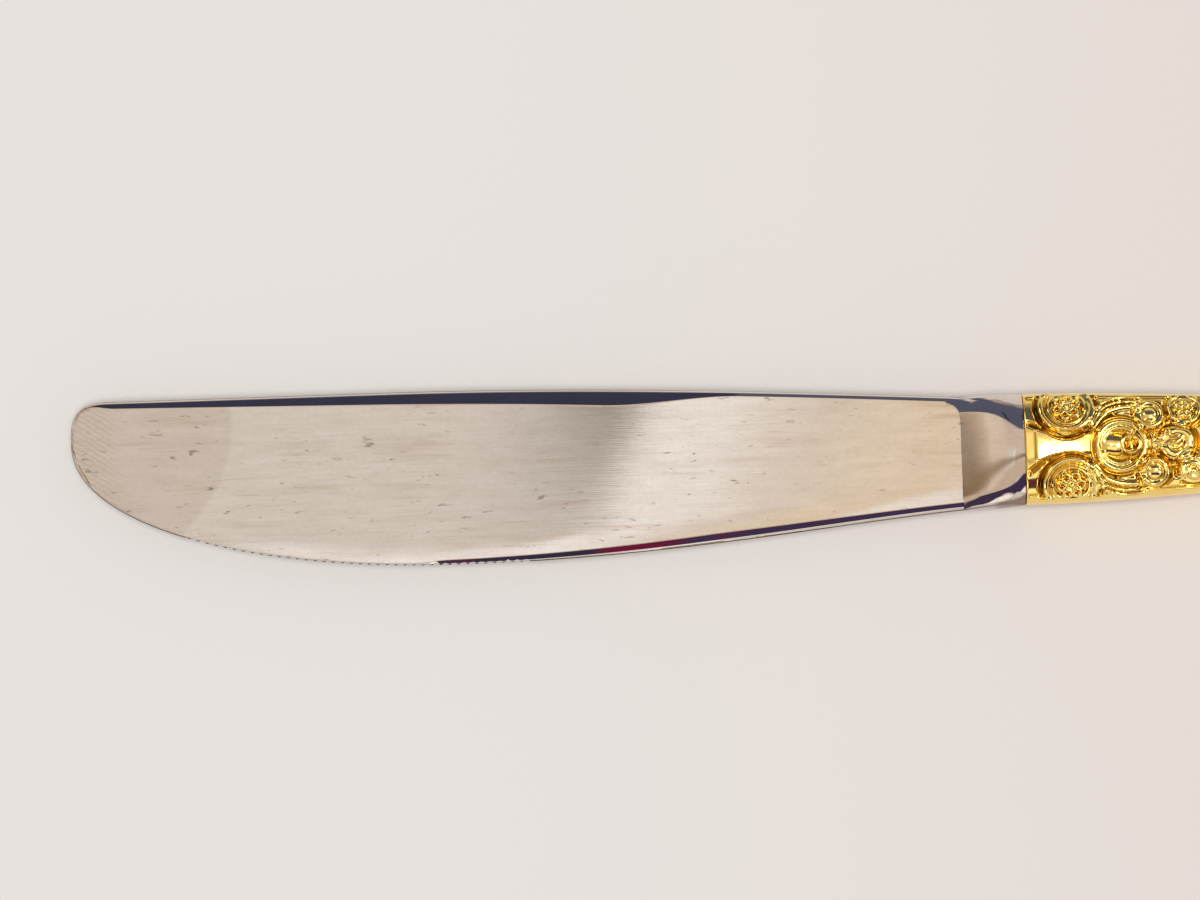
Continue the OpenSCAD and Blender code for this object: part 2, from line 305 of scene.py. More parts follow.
def in_mm(group):
    """The lengths of a property group, in millimetres."""
    sizes = {}
    for prop in group.bl_rna.properties:
        if prop.type == "FLOAT" and prop.unit == "LENGTH":
            sizes[prop.identifier] = getattr(group, prop.identifier) / MM
    return SimpleNamespace(**sizes)


class KnifeBladeSizes(PropertyGroup):
    """Sizes of the blade, its bolster and its tang"""

    blade_l: length("Blade length", 119, "From the handle's mouth to the nose")
    spine_h: length("Spine height", 9.9, "From the middle line up to the back")
    belly_h: length("Belly depth", 12, "From the middle line down to the cutting edge")
    belly_at: length("Belly place", 71, "Where the edge is deepest, in front of the mouth")
    spine_at: length("Spine place", 80, "Where the back reaches its height")
    nose_h: length("Nose height", 4.6, "Height of the foremost point above the middle line")
    corner_l: length("Corner length", 5.5, "Length of the round corner between back and nose")
    heel_t: length("Heel thickness", 2.4, "Thickness of the flat at the bolster")
    nose_t: length("Nose thickness", 1.6, "Thickness of the flat at the nose")
    rim_t: length("Rim thickness", 1.2, "Thickness of the flat above the cutting edge")
    edge_bevel: length("Edge bevel", 0.78, "Widest width of the ground bevel along the edge")
    heel_bevel: length("Edge bevel at the heel", 0.55, "Width of the edge's bevel at the bolster")
    taper_from: length("Taper start", 39, "Where the edge's bevel starts to narrow towards the belly")
    belly_bevel: length("Edge bevel at the belly", 0.45, "Width of the edge's bevel at the belly")
    tip_bevel: length("Edge bevel at the nose", 0.14, "Width of the edge's bevel in front of the belly")
    hone: length("Honed edge", 0.38, "Width of the honed edge between heel and belly")
    belly_hone: length("Honed edge at the belly", 0.12, "Width of the honed edge at the belly")
    spine_bevel: length("Back bevel", 0.35, "Narrowest width of the bevel along the back")
    spine_bevel_wide: length("Back bevel, wide", 1.7, "Widest width of the bevel along the back")
    nose_bevel: length("Back bevel at the nose", 0.45, "Width of the bevel where the back meets the nose")
    bevel_from: length("Back bevel start", 35, "Where the bevel along the back starts to widen")
    bevel_to: length("Back bevel, widest", 52, "Where the bevel along the back is widest")
    shoulder_r: length("Shoulder radius", 2.0, "Radius of the flat's upper corner at the bolster")
    bolster_l: length("Bolster length", 7.85, "From the mouth to the foot of the bolster")
    serration_from: length("Serration start", 62, "Where the teeth start, in front of the mouth")
    serration_l: length("Serration length", 43, "Length of the toothed edge")
    tooth_pitch: length("Tooth pitch", 1.12, "From tooth to tooth")
    tooth_w: length("Notch width", 0.84, "Width of the notch between two teeth")
    tooth_d: length("Notch depth", 0.24, "Depth of the notch between two teeth")
    tang_l: length("Tang length", 46, "Length of the tang inside the handle")
    tang_w: length("Tang width", 6.4, "Width of the tang at the mouth")
    tang_end_w: length("Tang end width", 4.4, "Width of the tang at its end")
    tang_t: length("Tang thickness", 2.6, "Thickness of the tang")
    tang_notch_r: length("Tang notch", 0.9, "Radius of the notches that lock the tang in the cement")


class KnifeHandleSizes(PropertyGroup):
    """Sizes of the handle and its raised ornament"""

    handle_l: length("Handle length", 100, "From the mouth to the end of the butt")
    mouth_w: length("Mouth width", 13.9, "Width of the handle at its mouth")
    mouth_t: length("Mouth thickness", 8.2, "Thickness of the handle at its mouth")
    waist_w: length("Waist width", 9.8, "Width of the handle at its waist")
    waist_t: length("Waist thickness", 7.6, "Thickness of the handle at its waist")
    waist_at: length("Waist place", 52, "Where the handle is narrowest")
    butt_w: length("Butt width", 18, "Width of the handle at its butt")
    butt_t: length("Butt thickness", 9.4, "Thickness of the handle at its butt")
    butt_at: length("Butt place", 85, "Where the handle is widest")
    wall: length("Wall", 0.8, "Thickness of the pressed sheet")
    solder_t: length("Solder", 0.2, "Thickness of the solder between the two shells")
    rosette_at: length("Rosette place", 5.3, "From the mouth to the first pair of rosettes")
    repeat_l: length("Repeat", 15.7, "From one pair of rosettes to the next")
    border_h: length("Border height", 2.3, "Height of the plain border above the seam")
    repeats: IntProperty(name="Repeats", description="Pairs of rosettes on a side", default=5, min=1, max=5)


class KnifeFinish(PropertyGroup):
    """Colours of the metals, of the filling and of the stage"""

    steel: colour("Steel", "#EDE3D9", "Satin stainless steel of the blade")
    steel_worn: colour("Worn steel", "#DBD0C4", "Steel where it is rubbed and stained")
    gold: colour("Gold", "#FFE488", "Gold plate on the raised forms")
    # Deep gold and gold sides are painted shade; the grooves' colour is tarnish and painted shade
    gold_deep: colour("Deep gold", "#F0BC44", "Gold plate in the recesses")
    tarnish_and_groove_shade: colour("Tarnish", "#3E2608", "Gold plate at the bottom of the grooves")
    gold_side: colour("Gold sides", "#C49424", "Gold plate on the steep sides of the forms")
    solder: colour("Solder", "#E0B765", "Solder of the seam")
    cement: colour("Cement", "#8F8678", "Cement that fills the handle")
    floor: colour("Floor", "#E7E2DE", "Pale floor under the knife")
    # Painted shade: the floor a little darker and warmer towards the handle
    floor_warm: colour("Warm floor", "#E6DCD6", "Floor towards the handle")


class KnifeView(PropertyGroup):
    """The camera's place"""

    middle_x: length("Middle along", -52.9, "Middle of the picture, along the knife from the mouth")
    middle_y: length("Middle across", 1.79, "Middle of the picture, across the knife")
    distance: length("Distance", 800, "From the camera to the middle of the picture")
    span: length("Span", 150, "Width that the picture covers")
    tilt: angle("Tilt", 6.5, "Lean of the view from straight above")
    roll: angle("Roll", 1.93, "Turn of the knife in the picture")


# The blade's outline and sections; powers have no unit
CORNER_POWER = 3.2
NOSE_POWER = 2.1
BELLY_POWER = 0.78
SECTION_POWER = 2.5

# The bolster's face: a share is of the bolster's half width, a run is in millimetres from the mouth
MOUTH_POWER = 2.35
LOW_POWER = 2.05
RIM_POWER = 9
LOW_RIM_POWER = 16
CROWN_START = 1.2
FACE_RUN = 2.2
FACE_EASE = 1.3
FACE_MOUTH = 0.27
FACE_FOOT = 0.7
FACE_BOW = 0.1
FACE_INSIDE = 0.06
FACE_OUTSIDE = 0.04
FACE_END = 0.93
LOW_MOUTH = 0.33
LOW_RISE = 0.41
LOW_RUN = 0.8
LOW_FLARE = 0.01

# The bolster's chamfers and the grey, duller patch below the lower one
CHAMFER_GRADE = 0.26
CHAMFER_SOFT = 0.15
LOW_GRADE = 0.34
LOW_FOOT_GRADE = 0.38
GREYING_MOUTH = 0.82
GREYING_FOOT = 0.96
GREYING_RUN = 1.5
GREYING_SOFT = 0.02
GREYING_FROM = 3.2
GREYING_TO = 4.6


def spine_line(k, d):
    """Height of the back at a distance d in front of the mouth."""
    climb = clip((d - k.bolster_l) / (k.spine_at - k.bolster_l))
    rise = mix(k.mouth_w / 2, k.spine_h, np.sin(np.pi / 2 * climb))
    corner = mix(k.nose_h, k.spine_h, falloff((d - k.blade_l + k.corner_l) / k.corner_l, CORNER_POWER))
    return np.where(d <= k.blade_l - k.corner_l, rise, corner)


def edge_line(k, d):
    """Height of the cutting edge at a distance d in front of the mouth."""
    heel = -mix(k.mouth_w / 2, k.belly_h, ease(clip(d / k.belly_at) ** BELLY_POWER))
    belly = mix(k.nose_h, -k.belly_h, falloff((d - k.belly_at) / (k.blade_l - k.belly_at), NOSE_POWER))
    return np.where(d <= k.belly_at, heel, belly)


def flat_height(k, d, y):
    """Half the thickness of the flat, which thins towards the nose and towards the edge."""
    along = (k.heel_t - k.nose_t) / 2 * d / k.blade_l
    across = (k.heel_t - k.rim_t) / 2 * (k.spine_h - y) / (k.spine_h + k.belly_h)
    return k.heel_t / 2 - along - across


def bolster_height(k, d, y, top, low, kept):
    """Height of the bolster's dome with a chamfer on each side of its face, then where it is face and where
    it is grey and duller.

    In front of its foot the dome runs on below the flat; where kept is 1 it stays level there.
    """
    foot = flat_height(k, k.bolster_l, y)
    share = (d - CROWN_START) / (k.bolster_l - CROWN_START)
    dome = np.where(share <= 1, np.cos(np.pi / 2 * clip(share)), np.pi / 2 * (1 - share) * (1 - kept))
    ridge = foot + (k.mouth_t / 2 - foot) * dome
    middle, half = (top + low) / 2, (top - low) / 2
    aside = np.abs(y - middle) / half
    upper = y > middle
    blunt = 1 - np.exp(-(d / FACE_RUN) ** FACE_EASE)
    face_low = LOW_MOUTH + LOW_RISE * (1 - np.exp(-d / LOW_RUN)) + LOW_FLARE * np.maximum(0, d - CROWN_START)
    face_w = np.where(upper, mix(FACE_MOUTH, FACE_FOOT, blunt), face_low)
    past = (aside - face_w) * half
    past = (past + np.sqrt(past ** 2 + CHAMFER_SOFT ** 2)) / 2
    low_grade = mix(LOW_GRADE, LOW_FOOT_GRADE, step(CROWN_START, k.bolster_l, d))
    grade = np.where(upper, CHAMFER_GRADE, low_grade)
    rounded = falloff(aside, np.where(upper, RIM_POWER, LOW_RIM_POWER))
    faced = (ridge * (1 - FACE_BOW * aside ** 2) - grade * past) * rounded
    height = mix(ridge * falloff(aside, np.where(upper, MOUTH_POWER, LOW_POWER)), faced, blunt)
    face = (1 - step(face_w - FACE_INSIDE, face_w + FACE_OUTSIDE, aside)) * (1 - step(FACE_END, 1.0, share))
    rim = mix(GREYING_MOUTH, GREYING_FOOT, 1 - np.exp(-d / GREYING_RUN))
    below = step(rim - GREYING_SOFT, rim + GREYING_SOFT, aside) * (y < middle)
    stain = below * (1 - step(GREYING_FROM, GREYING_TO, d))
    return height, face, stain


def plan_distance(points, line):
    """Distance of each point in plan from a line of points."""
    start, run = line[:-1], np.diff(line, axis=0)
    offset = points[:, None, :] - start
    share = clip((offset * run).sum(-1) / np.maximum((run * run).sum(-1), 1e-12))
    return np.sqrt(((offset - share[..., None] * run) ** 2).sum(-1).min(axis=1))


# Sections of the blade, from the mouth to the nose
BOLSTER_STEPS = 60
FOOT_STEPS = 90
HEEL_STEPS = 100
TEETH_STEPS = 384
NOSE_STEPS = 72
NOSE_TURN = 89.6
FOOT_LEAD = 1

# Points of a section, as shares of the back's round, the honed edge and a bevel
BACK_ROWS = np.array([0, 0.05, 0.14, 0.3, 0.5, 0.75, 1.0])
HONE_ROWS = np.array([0, 0.06, 0.15, 0.3, 0.5, 0.75, 0.95, 1.05])
BEVEL_ROWS = np.array([0.12, 0.5, 0.88, 0.98, 1.02, 1.12])
FLAT_ROW = 0.35
MIDDLE_ROWS = 41
SIDE_SHARE = 0.44
MOST_LEAN = 3.0

# Rounds, slopes and soft lengths of the blade's surface
BACK_ROUND = 0.4
EDGE_ROUND = 0.08
BACK_GRADE = 0.3
CORNER_GRADE = 0.6
CORNER_KEPT = 0.3
EDGE_GRADE = 0.36
BELLY_GRADE = 0.85
HIDDEN_GRADE = 1.0
HONE_GRADE = 0.6
EDGE_HALF = 0.06
ROLL_W = 2.4
ROLL_BEND = 0.0045
# RIM_LINE is the width of the painted shade along the blade's rim
RIM_LINE = 0.16
FOOT_SOFT = 0.004
LEVEL_SOFT = 0.3
SATIN_SOFT = 0.12
SATIN_BEHIND = 0.8
SATIN_AHEAD = 0.2
FACE_FADE = 0.4
FACE_FROM = 0.1
FACE_TO = 0.8
SEAM_ROUND = 0.12
SEAM_DROP = 0.15

# Places in front of the belly where the edge's bevel changes, and reach of the exact distances at the nose
TAPER_PAST = 2
TIP_FROM = 1
TIP_TO = 6
STEEP_FROM = 2
STEEP_TO = 4
NOSE_REACH = 16
RIM_REACH = 22


def blade_stations(k):
    """Distances of the blade's sections, close together at the bolster, the teeth and the nose."""
    teeth_end = k.serration_from + k.serration_l
    turn = np.radians(np.linspace(0, NOSE_TURN, NOSE_STEPS))
    before, shoulder = k.bolster_l - FOOT_LEAD, k.bolster_l + k.shoulder_r
    return np.concatenate([
        np.linspace(0, before, BOLSTER_STEPS, endpoint=False),
        np.linspace(before, shoulder, FOOT_STEPS, endpoint=False),
        np.linspace(shoulder, k.serration_from, HEEL_STEPS, endpoint=False),
        np.linspace(k.serration_from, teeth_end, TEETH_STEPS, endpoint=False),
        teeth_end + (k.blade_l - teeth_end) * np.sin(turn),
    ])


def bevel_widths(k, d):
    """Widths of the back's bevel, the edge's bevel and the honed edge, and the slope of the edge's bevel."""
    wide = mix(k.spine_bevel_wide, k.nose_bevel, clip((d - k.bevel_to) / (k.blade_l - k.bevel_to)))
    back_w = mix(k.spine_bevel, wide, step(k.bevel_from, k.bevel_to, d))
    back_w = back_w * (1 - step(k.blade_l - k.corner_l, k.blade_l - CORNER_KEPT * k.corner_l, d))
    taper = clip((d - k.taper_from) / (k.belly_at + TAPER_PAST - k.taper_from))
    edge_w = mix(k.heel_bevel, k.edge_bevel, step(k.bolster_l, k.taper_from, d))
    edge_w = mix(edge_w, k.belly_bevel, taper)
    edge_w = mix(edge_w, k.tip_bevel, step(k.belly_at + TIP_FROM, k.belly_at + TIP_TO, d))
    hone_w = mix(k.hone, k.belly_hone, taper)
    steep = step(k.belly_at + STEEP_FROM, k.belly_at + STEEP_TO, d)
    edge_grade = mix(EDGE_GRADE, BELLY_GRADE, steep)
    return back_w[:, None], edge_w[:, None], hone_w[:, None], edge_grade[:, None]


def blade_body(k):
    """Points, faces and attributes of the blade with its bolster."""
    d = blade_stations(k)
    top, low = spine_line(k, d), edge_line(k, d)
    slope_top, slope_low = np.gradient(top, d), np.gradient(low, d)
    lean_top, lean_low = np.hypot(1, slope_top)[:, None], np.hypot(1, slope_low)[:, None]
    back_w, edge_w, hone_w, edge_grade = bevel_widths(k, d)

    # Rows of points: the rounded back and its bevel, the flat, the edge's bevel and the honed edge
    bevel_end = np.concatenate([BEVEL_ROWS, BEVEL_ROWS[-1:]])
    past = np.append(np.zeros(len(BEVEL_ROWS)), FLAT_ROW)
    round_rows = np.broadcast_to(BACK_ROUND * BACK_ROWS, (len(d), len(BACK_ROWS)))
    back_rows = np.concatenate([round_rows, BACK_ROUND + back_w * bevel_end + past], axis=1)
    edge_rows = np.concatenate([hone_w * HONE_ROWS, hone_w + edge_w * bevel_end + past], axis=1)
    back_rows = back_rows * np.minimum(lean_top, MOST_LEAN)
    edge_rows = edge_rows * np.minimum(lean_low, MOST_LEAN)
    side = SIDE_SHARE * (top - low)[:, None]
    upper = top[:, None] - back_rows * np.minimum(1, side / back_rows[:, -1:])
    lower = low[:, None] + edge_rows * np.minimum(1, side / edge_rows[:, -1:])
    spread = np.linspace(0, 1, MIDDLE_ROWS + 2)[1:-1]
    middle = mix(upper[:, -1:], lower[:, -1:], (spread + ease(spread)) / 2)
    y = np.concatenate([upper, middle, lower[:, ::-1]], axis=1)
    place = np.broadcast_to(d[:, None], y.shape)

    # Plan distance from the back and from the edge, exact round the nose
    from_back = (top[:, None] - y) / lean_top
    from_edge = (y - low[:, None]) / lean_low
    nose = d > k.blade_l - NOSE_REACH
    rim = d > k.blade_l - RIM_REACH
    nose_points = np.stack([place[nose], y[nose]], axis=-1).reshape(-1, 2)
    for distance, line in ((from_back, top), (from_edge, low)):
        rim_line = np.concatenate([np.stack([d[rim], line[rim]], axis=1), [[k.blade_l, k.nose_h]]])
        distance[nose] = plan_distance(nose_points, rim_line).reshape(y[nose].shape)

    # Flat, the two ground bevels, the honed edge and the rounded back
    back_cut = np.maximum(0, back_w + BACK_ROUND - from_back)
    edge_cut = np.maximum(0, edge_w + hone_w - from_edge)
    # The flat's upper corner at the bolster is round
    corner_d = np.maximum(0, k.bolster_l + k.shoulder_r - place)
    corner_y = clip((back_w + BACK_ROUND + k.shoulder_r - from_back) / k.shoulder_r) * k.shoulder_r
    corner_cut = np.where(corner_y > 0, np.maximum(0, np.hypot(corner_d, corner_y) - k.shoulder_r), 0)
    # Above the edge's bevel the flat rolls over a little
    roll = np.maximum(0, ROLL_W - np.maximum(0, from_edge - edge_w - hone_w))
    height = flat_height(k, place, y) - BACK_GRADE * back_cut - CORNER_GRADE * corner_cut
    height = height - edge_grade * edge_cut - ROLL_BEND * roll ** 2
    height = np.maximum(EDGE_HALF, height - HONE_GRADE * np.maximum(0, hone_w - from_edge))
    # Behind the foot the flat sinks into the bolster
    height = height - HIDDEN_GRADE * np.maximum(0, k.bolster_l - place)
    kept = step(0, LEVEL_SOFT, corner_y) * (1 - step(k.shoulder_r, 2 * k.shoulder_r, place - k.bolster_l))
    dome, face, stain = bolster_height(k, place, y, top[:, None], low[:, None], kept)
    height = (height + dome + np.sqrt((height - dome) ** 2 + FOOT_SOFT ** 2)) / 2
    turn_in = np.minimum(clip(from_back / BACK_ROUND), clip(from_edge / EDGE_ROUND))
    height *= np.sqrt(1 - (1 - turn_in) ** 2)
    height[:, [0, -1]] = 0

    # Where the surface is satin, the bolster's brushed face or the rim darkened with painted shade
    satin = (1 - step(0.0, SATIN_SOFT, back_cut + corner_cut)) * (1 - step(0.0, SATIN_SOFT, edge_cut))
    satin *= step(k.bolster_l - SATIN_BEHIND, k.bolster_l + SATIN_AHEAD, place)
    # Painted shade: a dark band just inside the blade's outermost rim
    outline = 1 - step(RIM_LINE / 2, RIM_LINE, np.minimum(from_edge, from_back))
    face = face * (1 - step(k.bolster_l - FACE_FADE, k.bolster_l, place)) * step(FACE_FROM, FACE_TO, place)

    tuck = 1 - SEAM_DROP / k.mouth_t * 2 * (1 - clip(place / SEAM_ROUND)) ** 2
    y, height = y * tuck, height * tuck
    front = np.stack([-place, y, height], axis=-1)
    back = np.stack([-place, y, -height], axis=-1)[:, -2:0:-1]
    points = np.concatenate([front, back], axis=1)
    rows, columns = points.shape[:2]

    def ring(values):
        return np.concatenate([values, values[:, -2:0:-1]], axis=1).reshape(-1)

    lean = 1 / np.hypot(1, slope_low)
    inward = np.stack([slope_low * lean, lean, 0 * lean], axis=-1)
    attributes = {
        "along": ring(place) * MM,
        "from_edge": ring(from_edge) * MM,
        "inward": np.repeat(inward, columns, axis=0),
        "satin": ring(satin),
        "face": ring(face),
        "stain": ring(stain),
        "outline": ring(outline),
    }
    return points.reshape(-1, 3), tube_faces(rows, columns), attributes


TANG_NOTCHES = (0.3, 0.55, 0.8)
TANG_ROUND = 0.35
TANG_LEAD = 1.0
TANG_STEPS = 150
TANG_CORNERS = 12


def tang_body(k):
    """Points and faces of the notched tang, which starts inside the bolster."""
    x = np.concatenate([[-TANG_LEAD], np.linspace(0, k.tang_l, TANG_STEPS)])
    half = mix(k.tang_w, k.tang_end_w, clip(x / k.tang_l)) / 2
    for share in TANG_NOTCHES:
        reach = np.abs(x - share * k.tang_l) / k.tang_notch_r
        half = half - np.where(reach < 1, k.tang_notch_r * np.sqrt(np.maximum(0, 1 - reach ** 2)), 0)
    turn = 2 * np.pi * (np.arange(TANG_CORNERS) + 0.5) / TANG_CORNERS
    curl = np.stack([np.cos(turn), np.sin(turn)], axis=-1)
    corner = np.sign(curl)
    y = corner[:, 0] * (half[:, None] - TANG_ROUND) + curl[:, 0] * TANG_ROUND
    z = corner[:, 1] * (k.tang_t / 2 - TANG_ROUND) + curl[:, 1] * TANG_ROUND
    points = np.stack(np.broadcast_arrays(x[:, None], y, z), axis=-1)
    return points.reshape(-1, 3), tube_faces(*y.shape)


NOTCH_BOW = 0.9


def serrate_tree():
    """Node tree that presses a row of notches into the cutting edge."""
    tree, sizes = new_tree("Serrate edge", {
        "Start": "Distance", "Length": "Distance", "Pitch": "Distance", "Width": "Distance",
        "Depth": "Distance", "Material": "Material"})
    run = maths(tree, "SUBTRACT", field(tree, "along"), sizes["Start"])
    after = maths(tree, "GREATER_THAN", run, 0.0)
    before = maths(tree, "LESS_THAN", run, sizes["Length"])
    toothed = maths(tree, "MULTIPLY", after, before)
    part = maths(tree, "FRACT", maths(tree, "DIVIDE", run, sizes["Pitch"]))
    offset = maths(tree, "MULTIPLY", maths(tree, "SUBTRACT", part, 0.5), sizes["Pitch"])
    share = maths(tree, "DIVIDE", offset, maths(tree, "DIVIDE", sizes["Width"], 2.0))
    rest = maths(tree, "SUBTRACT", 1.0, maths(tree, "MULTIPLY", share, share), clamp=True)
    cut = maths(tree, "MULTIPLY", maths(tree, "POWER", rest, NOTCH_BOW), sizes["Depth"])
    deep = maths(tree, "SUBTRACT", maths(tree, "MULTIPLY", cut, toothed), field(tree, "from_edge"))
    push = maths(tree, "MAXIMUM", deep, 0.0)
    move = add(tree, "ShaderNodeVectorMath", {0: field(tree, "inward", "FLOAT_VECTOR"), "Scale": push},
               operation="SCALE")
    moved = add(tree, "GeometryNodeSetPosition", {"Geometry": sizes["Geometry"], "Offset": move})
    dress(tree, moved, sizes["Material"])
    return tree


# The handle's form, by the distance behind its mouth in millimetres
BUTT_TURN = 87
BUTT_POWER = 0.5
ROWS = 152
INNER_ROWS = 13
FINE_L = 25
FINE_STEPS = 240
PLAIN_STEPS = 300
BUTT_STEPS = 64
ROUND_STEPS = 1441
LEAST_RISE = 0.02

# The flat pattern: its least scale, where the ornament fades and the round lip at the mouth
LEAST_SCALE = 0.6
MOUTH_FADE = (0.12, 0.5)
SEAM_FADE = (0.9, 1.5)
BUTT_FADE = (0.2, 2.5)
LIP_FADE = (0.2, 0.6)
HIDDEN_PLACE = -50

# The smooth plate between the first pair of rosettes
NECK_RISE = 0.3
NECK_DIP = 0.28
NECK_FROM = 1.1
NECK_LEVEL = 1.4
NECK_L = 7
NECK_END = (8.3, 9.4)
NECK_W = 2.0
NECK_END_W = 1.2
NECK_TAPER = (1, 8)
NECK_V = 0.1
NECK_INSIDE = 0.2
NECK_OUTSIDE = 0.3


def handle_sections(k, inset):
    """Places, half widths and half thicknesses of the handle's sections."""
    fine = np.linspace(0, FINE_L, FINE_STEPS, endpoint=False)
    x = np.concatenate([fine, np.linspace(FINE_L, k.butt_at, PLAIN_STEPS, endpoint=False)])
    front, back = ease(x / k.waist_at), ease((x - k.waist_at) / (k.butt_at - k.waist_at))
    ahead = x <= k.waist_at
    wide = np.where(ahead, mix(k.mouth_w, k.waist_w, front), mix(k.waist_w, k.butt_w, back)) / 2
    thick = np.where(ahead, mix(k.mouth_t, k.waist_t, front), mix(k.waist_t, k.butt_t, back)) / 2
    turn = np.radians(np.linspace(0, BUTT_TURN, BUTT_STEPS))
    x = np.concatenate([x, mix(k.butt_at, k.handle_l - inset, np.sin(turn))])
    wide = np.concatenate([wide - inset, (k.butt_w / 2 - inset) * np.cos(turn)])
    thick = np.concatenate([thick - inset, (k.butt_t / 2 - inset) * np.cos(turn) ** BUTT_POWER])
    return x, wide, thick


def shell_grid(k, inset, rows):
    """Points of the upper half of the handle in rows of equal steps, and their distance from the crown."""
    x, wide, thick = handle_sections(k, inset)
    base = k.solder_t / 2
    turn = np.linspace(0, np.pi, ROUND_STEPS)
    side = np.sign(np.cos(turn)) * np.abs(np.cos(turn)) ** (2 / SECTION_POWER)
    rise = np.sin(turn) ** (2 / SECTION_POWER)
    points = np.empty((len(x), rows, 3))
    round_by = np.empty((len(x), rows))
    for i in range(len(x)):
        y = wide[i] * side
        z = base + np.maximum(thick[i] - base, LEAST_RISE) * rise
        run = np.concatenate([[0], np.cumsum(np.hypot(np.diff(y), np.diff(z)))])
        stop = np.linspace(0, run[-1], rows)
        points[i, :, 0] = x[i]
        points[i, :, 1] = np.interp(stop, run, y)
        points[i, :, 2] = np.interp(stop, run, z)
        round_by[i] = run[-1] / 2 - stop
    return points, round_by


def neck_plate(x, v):
    """Rise of the smooth plate at the neck, on the flat pattern."""
    half = mix(NECK_W, NECK_END_W, step(*NECK_TAPER, x))
    plate = mix(NECK_RISE, -NECK_DIP, clip((x - NECK_LEVEL) / NECK_L))
    plate = plate * step(NECK_FROM, NECK_LEVEL, x) * (1 - step(*NECK_END, x))
    return plate * (1 - step(half - NECK_INSIDE, half + NECK_OUTSIDE, np.abs(v - NECK_V)))


def shell_faces(count):
    """Faces of the shell: outer and inner walls, both rims, the mouth and the end of the butt."""
    base = count * ROWS
    faces = grid_quads(count, ROWS, closed=False)
    inner_faces = np.array(grid_quads(count, INNER_ROWS, closed=False)) + base
    faces += inner_faces[:, ::-1].tolist()
    for i in range(count - 1):
        a, b = i * ROWS, (i + 1) * ROWS
        c, e = base + i * INNER_ROWS, base + (i + 1) * INNER_ROWS
        faces.append([b, e, c, a])
        faces.append([a + ROWS - 1, c + INNER_ROWS - 1, e + INNER_ROWS - 1, b + ROWS - 1])
    last, last_inner = (count - 1) * ROWS, base + (count - 1) * INNER_ROWS
    mouth_out, mouth_in = list(range(ROWS)), list(range(base, base + INNER_ROWS))
    faces.append((mouth_out + mouth_in[::-1])[::-1])
    faces.append(list(range(last, last + ROWS)))
    faces.append(list(range(last_inner, last_inner + INNER_ROWS))[::-1])
    faces.append([last, last + ROWS - 1, last_inner + INNER_ROWS - 1, last_inner][::-1])
    return faces


def shell_body(k):
    """Points, faces and attributes of the upper shell, before its ornament is raised."""
    outer, round_by = shell_grid(k, 0.0, ROWS)
    inner, _ = shell_grid(k, k.wall, INNER_ROWS)
    count = len(outer)

    # The ornament is drawn on a flat pattern that keeps its shape as the handle narrows and widens
    girth = round_by[:, 0]
    scale = girth / girth[0]
    crown = outer[:, ROWS // 2]
    reach = np.concatenate([[0], np.cumsum(np.hypot(np.diff(crown[:, 0]), np.diff(crown[:, 2])))])
    drawn = np.maximum(scale, LEAST_SCALE)
    travel = np.concatenate([[0], np.cumsum(np.diff(reach) / ((drawn[1:] + drawn[:-1]) / 2))])
    flat_x, flat_v = np.broadcast_to(travel[:, None], round_by.shape), round_by / drawn[:, None]
    pattern = np.stack([flat_x, flat_v, 0 * round_by], axis=-1)

    normal = np.cross(np.gradient(outer, axis=1), np.gradient(outer, axis=0))
    normal /= np.maximum(np.linalg.norm(normal, axis=-1, keepdims=True), 1e-9)
    normal *= np.where(normal[..., 2:].sum(axis=1, keepdims=True) < 0, -1, 1)
    above_seam = girth[:, None] - np.abs(round_by)
    fade = step(*MOUTH_FADE, outer[..., 0]) * step(*SEAM_FADE, above_seam)
    fade = fade * step(*BUTT_FADE, k.handle_l - outer[..., 0]) * np.minimum(1, scale)[:, None]

    lip = SEAM_DROP * (1 - clip(outer[..., :1] / SEAM_ROUND)) ** 2
    outer = outer - lip * normal * step(*LIP_FADE, above_seam)[..., None]
    plate = neck_plate(flat_x, flat_v)
    points = np.concatenate([outer.reshape(-1, 3), inner.reshape(-1, 3)])

    hidden = np.zeros(count * INNER_ROWS)
    hidden_vectors = np.zeros((count * INNER_ROWS, 3))
    attributes = {
        "pattern": np.concatenate([pattern.reshape(-1, 3), hidden_vectors + HIDDEN_PLACE]) * MM,
        "normal_out": np.concatenate([normal.reshape(-1, 3), hidden_vectors]),
        "fade": np.concatenate([fade.reshape(-1), hidden]),
        "raise": np.concatenate([np.maximum(0, plate).reshape(-1), hidden]) * MM,
        "ground": np.concatenate([np.minimum(0, plate).reshape(-1), hidden]) * MM,
    }
    lane = SimpleNamespace(x=outer[:, 0, 0], travel=travel, girth=girth[0])
    return points, shell_faces(count), attributes, lane


# Lines of the ornament, in millimetres on the flat pattern: along the handle, round it

ARC_STEP = 7
CURVE_STEPS = 9


def arc(centre, radius, start=0.0, end=360.0, radius_end=None):
    """A circle, part of one or a spiral."""
    share = np.linspace(0, 1, max(4, int(abs(end - start) / ARC_STEP) + 1))
    turn = np.radians(mix(start, end, share))
    size = mix(radius, radius if radius_end is None else radius_end, share)
    return np.stack([centre[0] + size * np.cos(turn), centre[1] + size * np.sin(turn)], axis=1)


def through(*places):
    """A smooth line through the places."""
    p = np.array(places, dtype=float)
    p = np.concatenate([[2 * p[0] - p[1]], p, [2 * p[-1] - p[-2]]])
    line = []
    for a, b, c, e in zip(p, p[1:], p[2:], p[3:]):
        for t in np.linspace(0, 1, CURVE_STEPS)[:-1]:
            line.append(0.5 * (2 * b + (c - a) * t + (2 * a - 5 * b + 4 * c - e) * t * t
                               + (3 * b - a - 3 * c + e) * t ** 3))
    line.append(p[-2])
    return np.array(line)


def short(place, way=(0.02, 0.0)):
    """A short line, for a round or oval form."""
    place, way = np.array(place), np.array(way)
    return np.array([place - way, place + way])


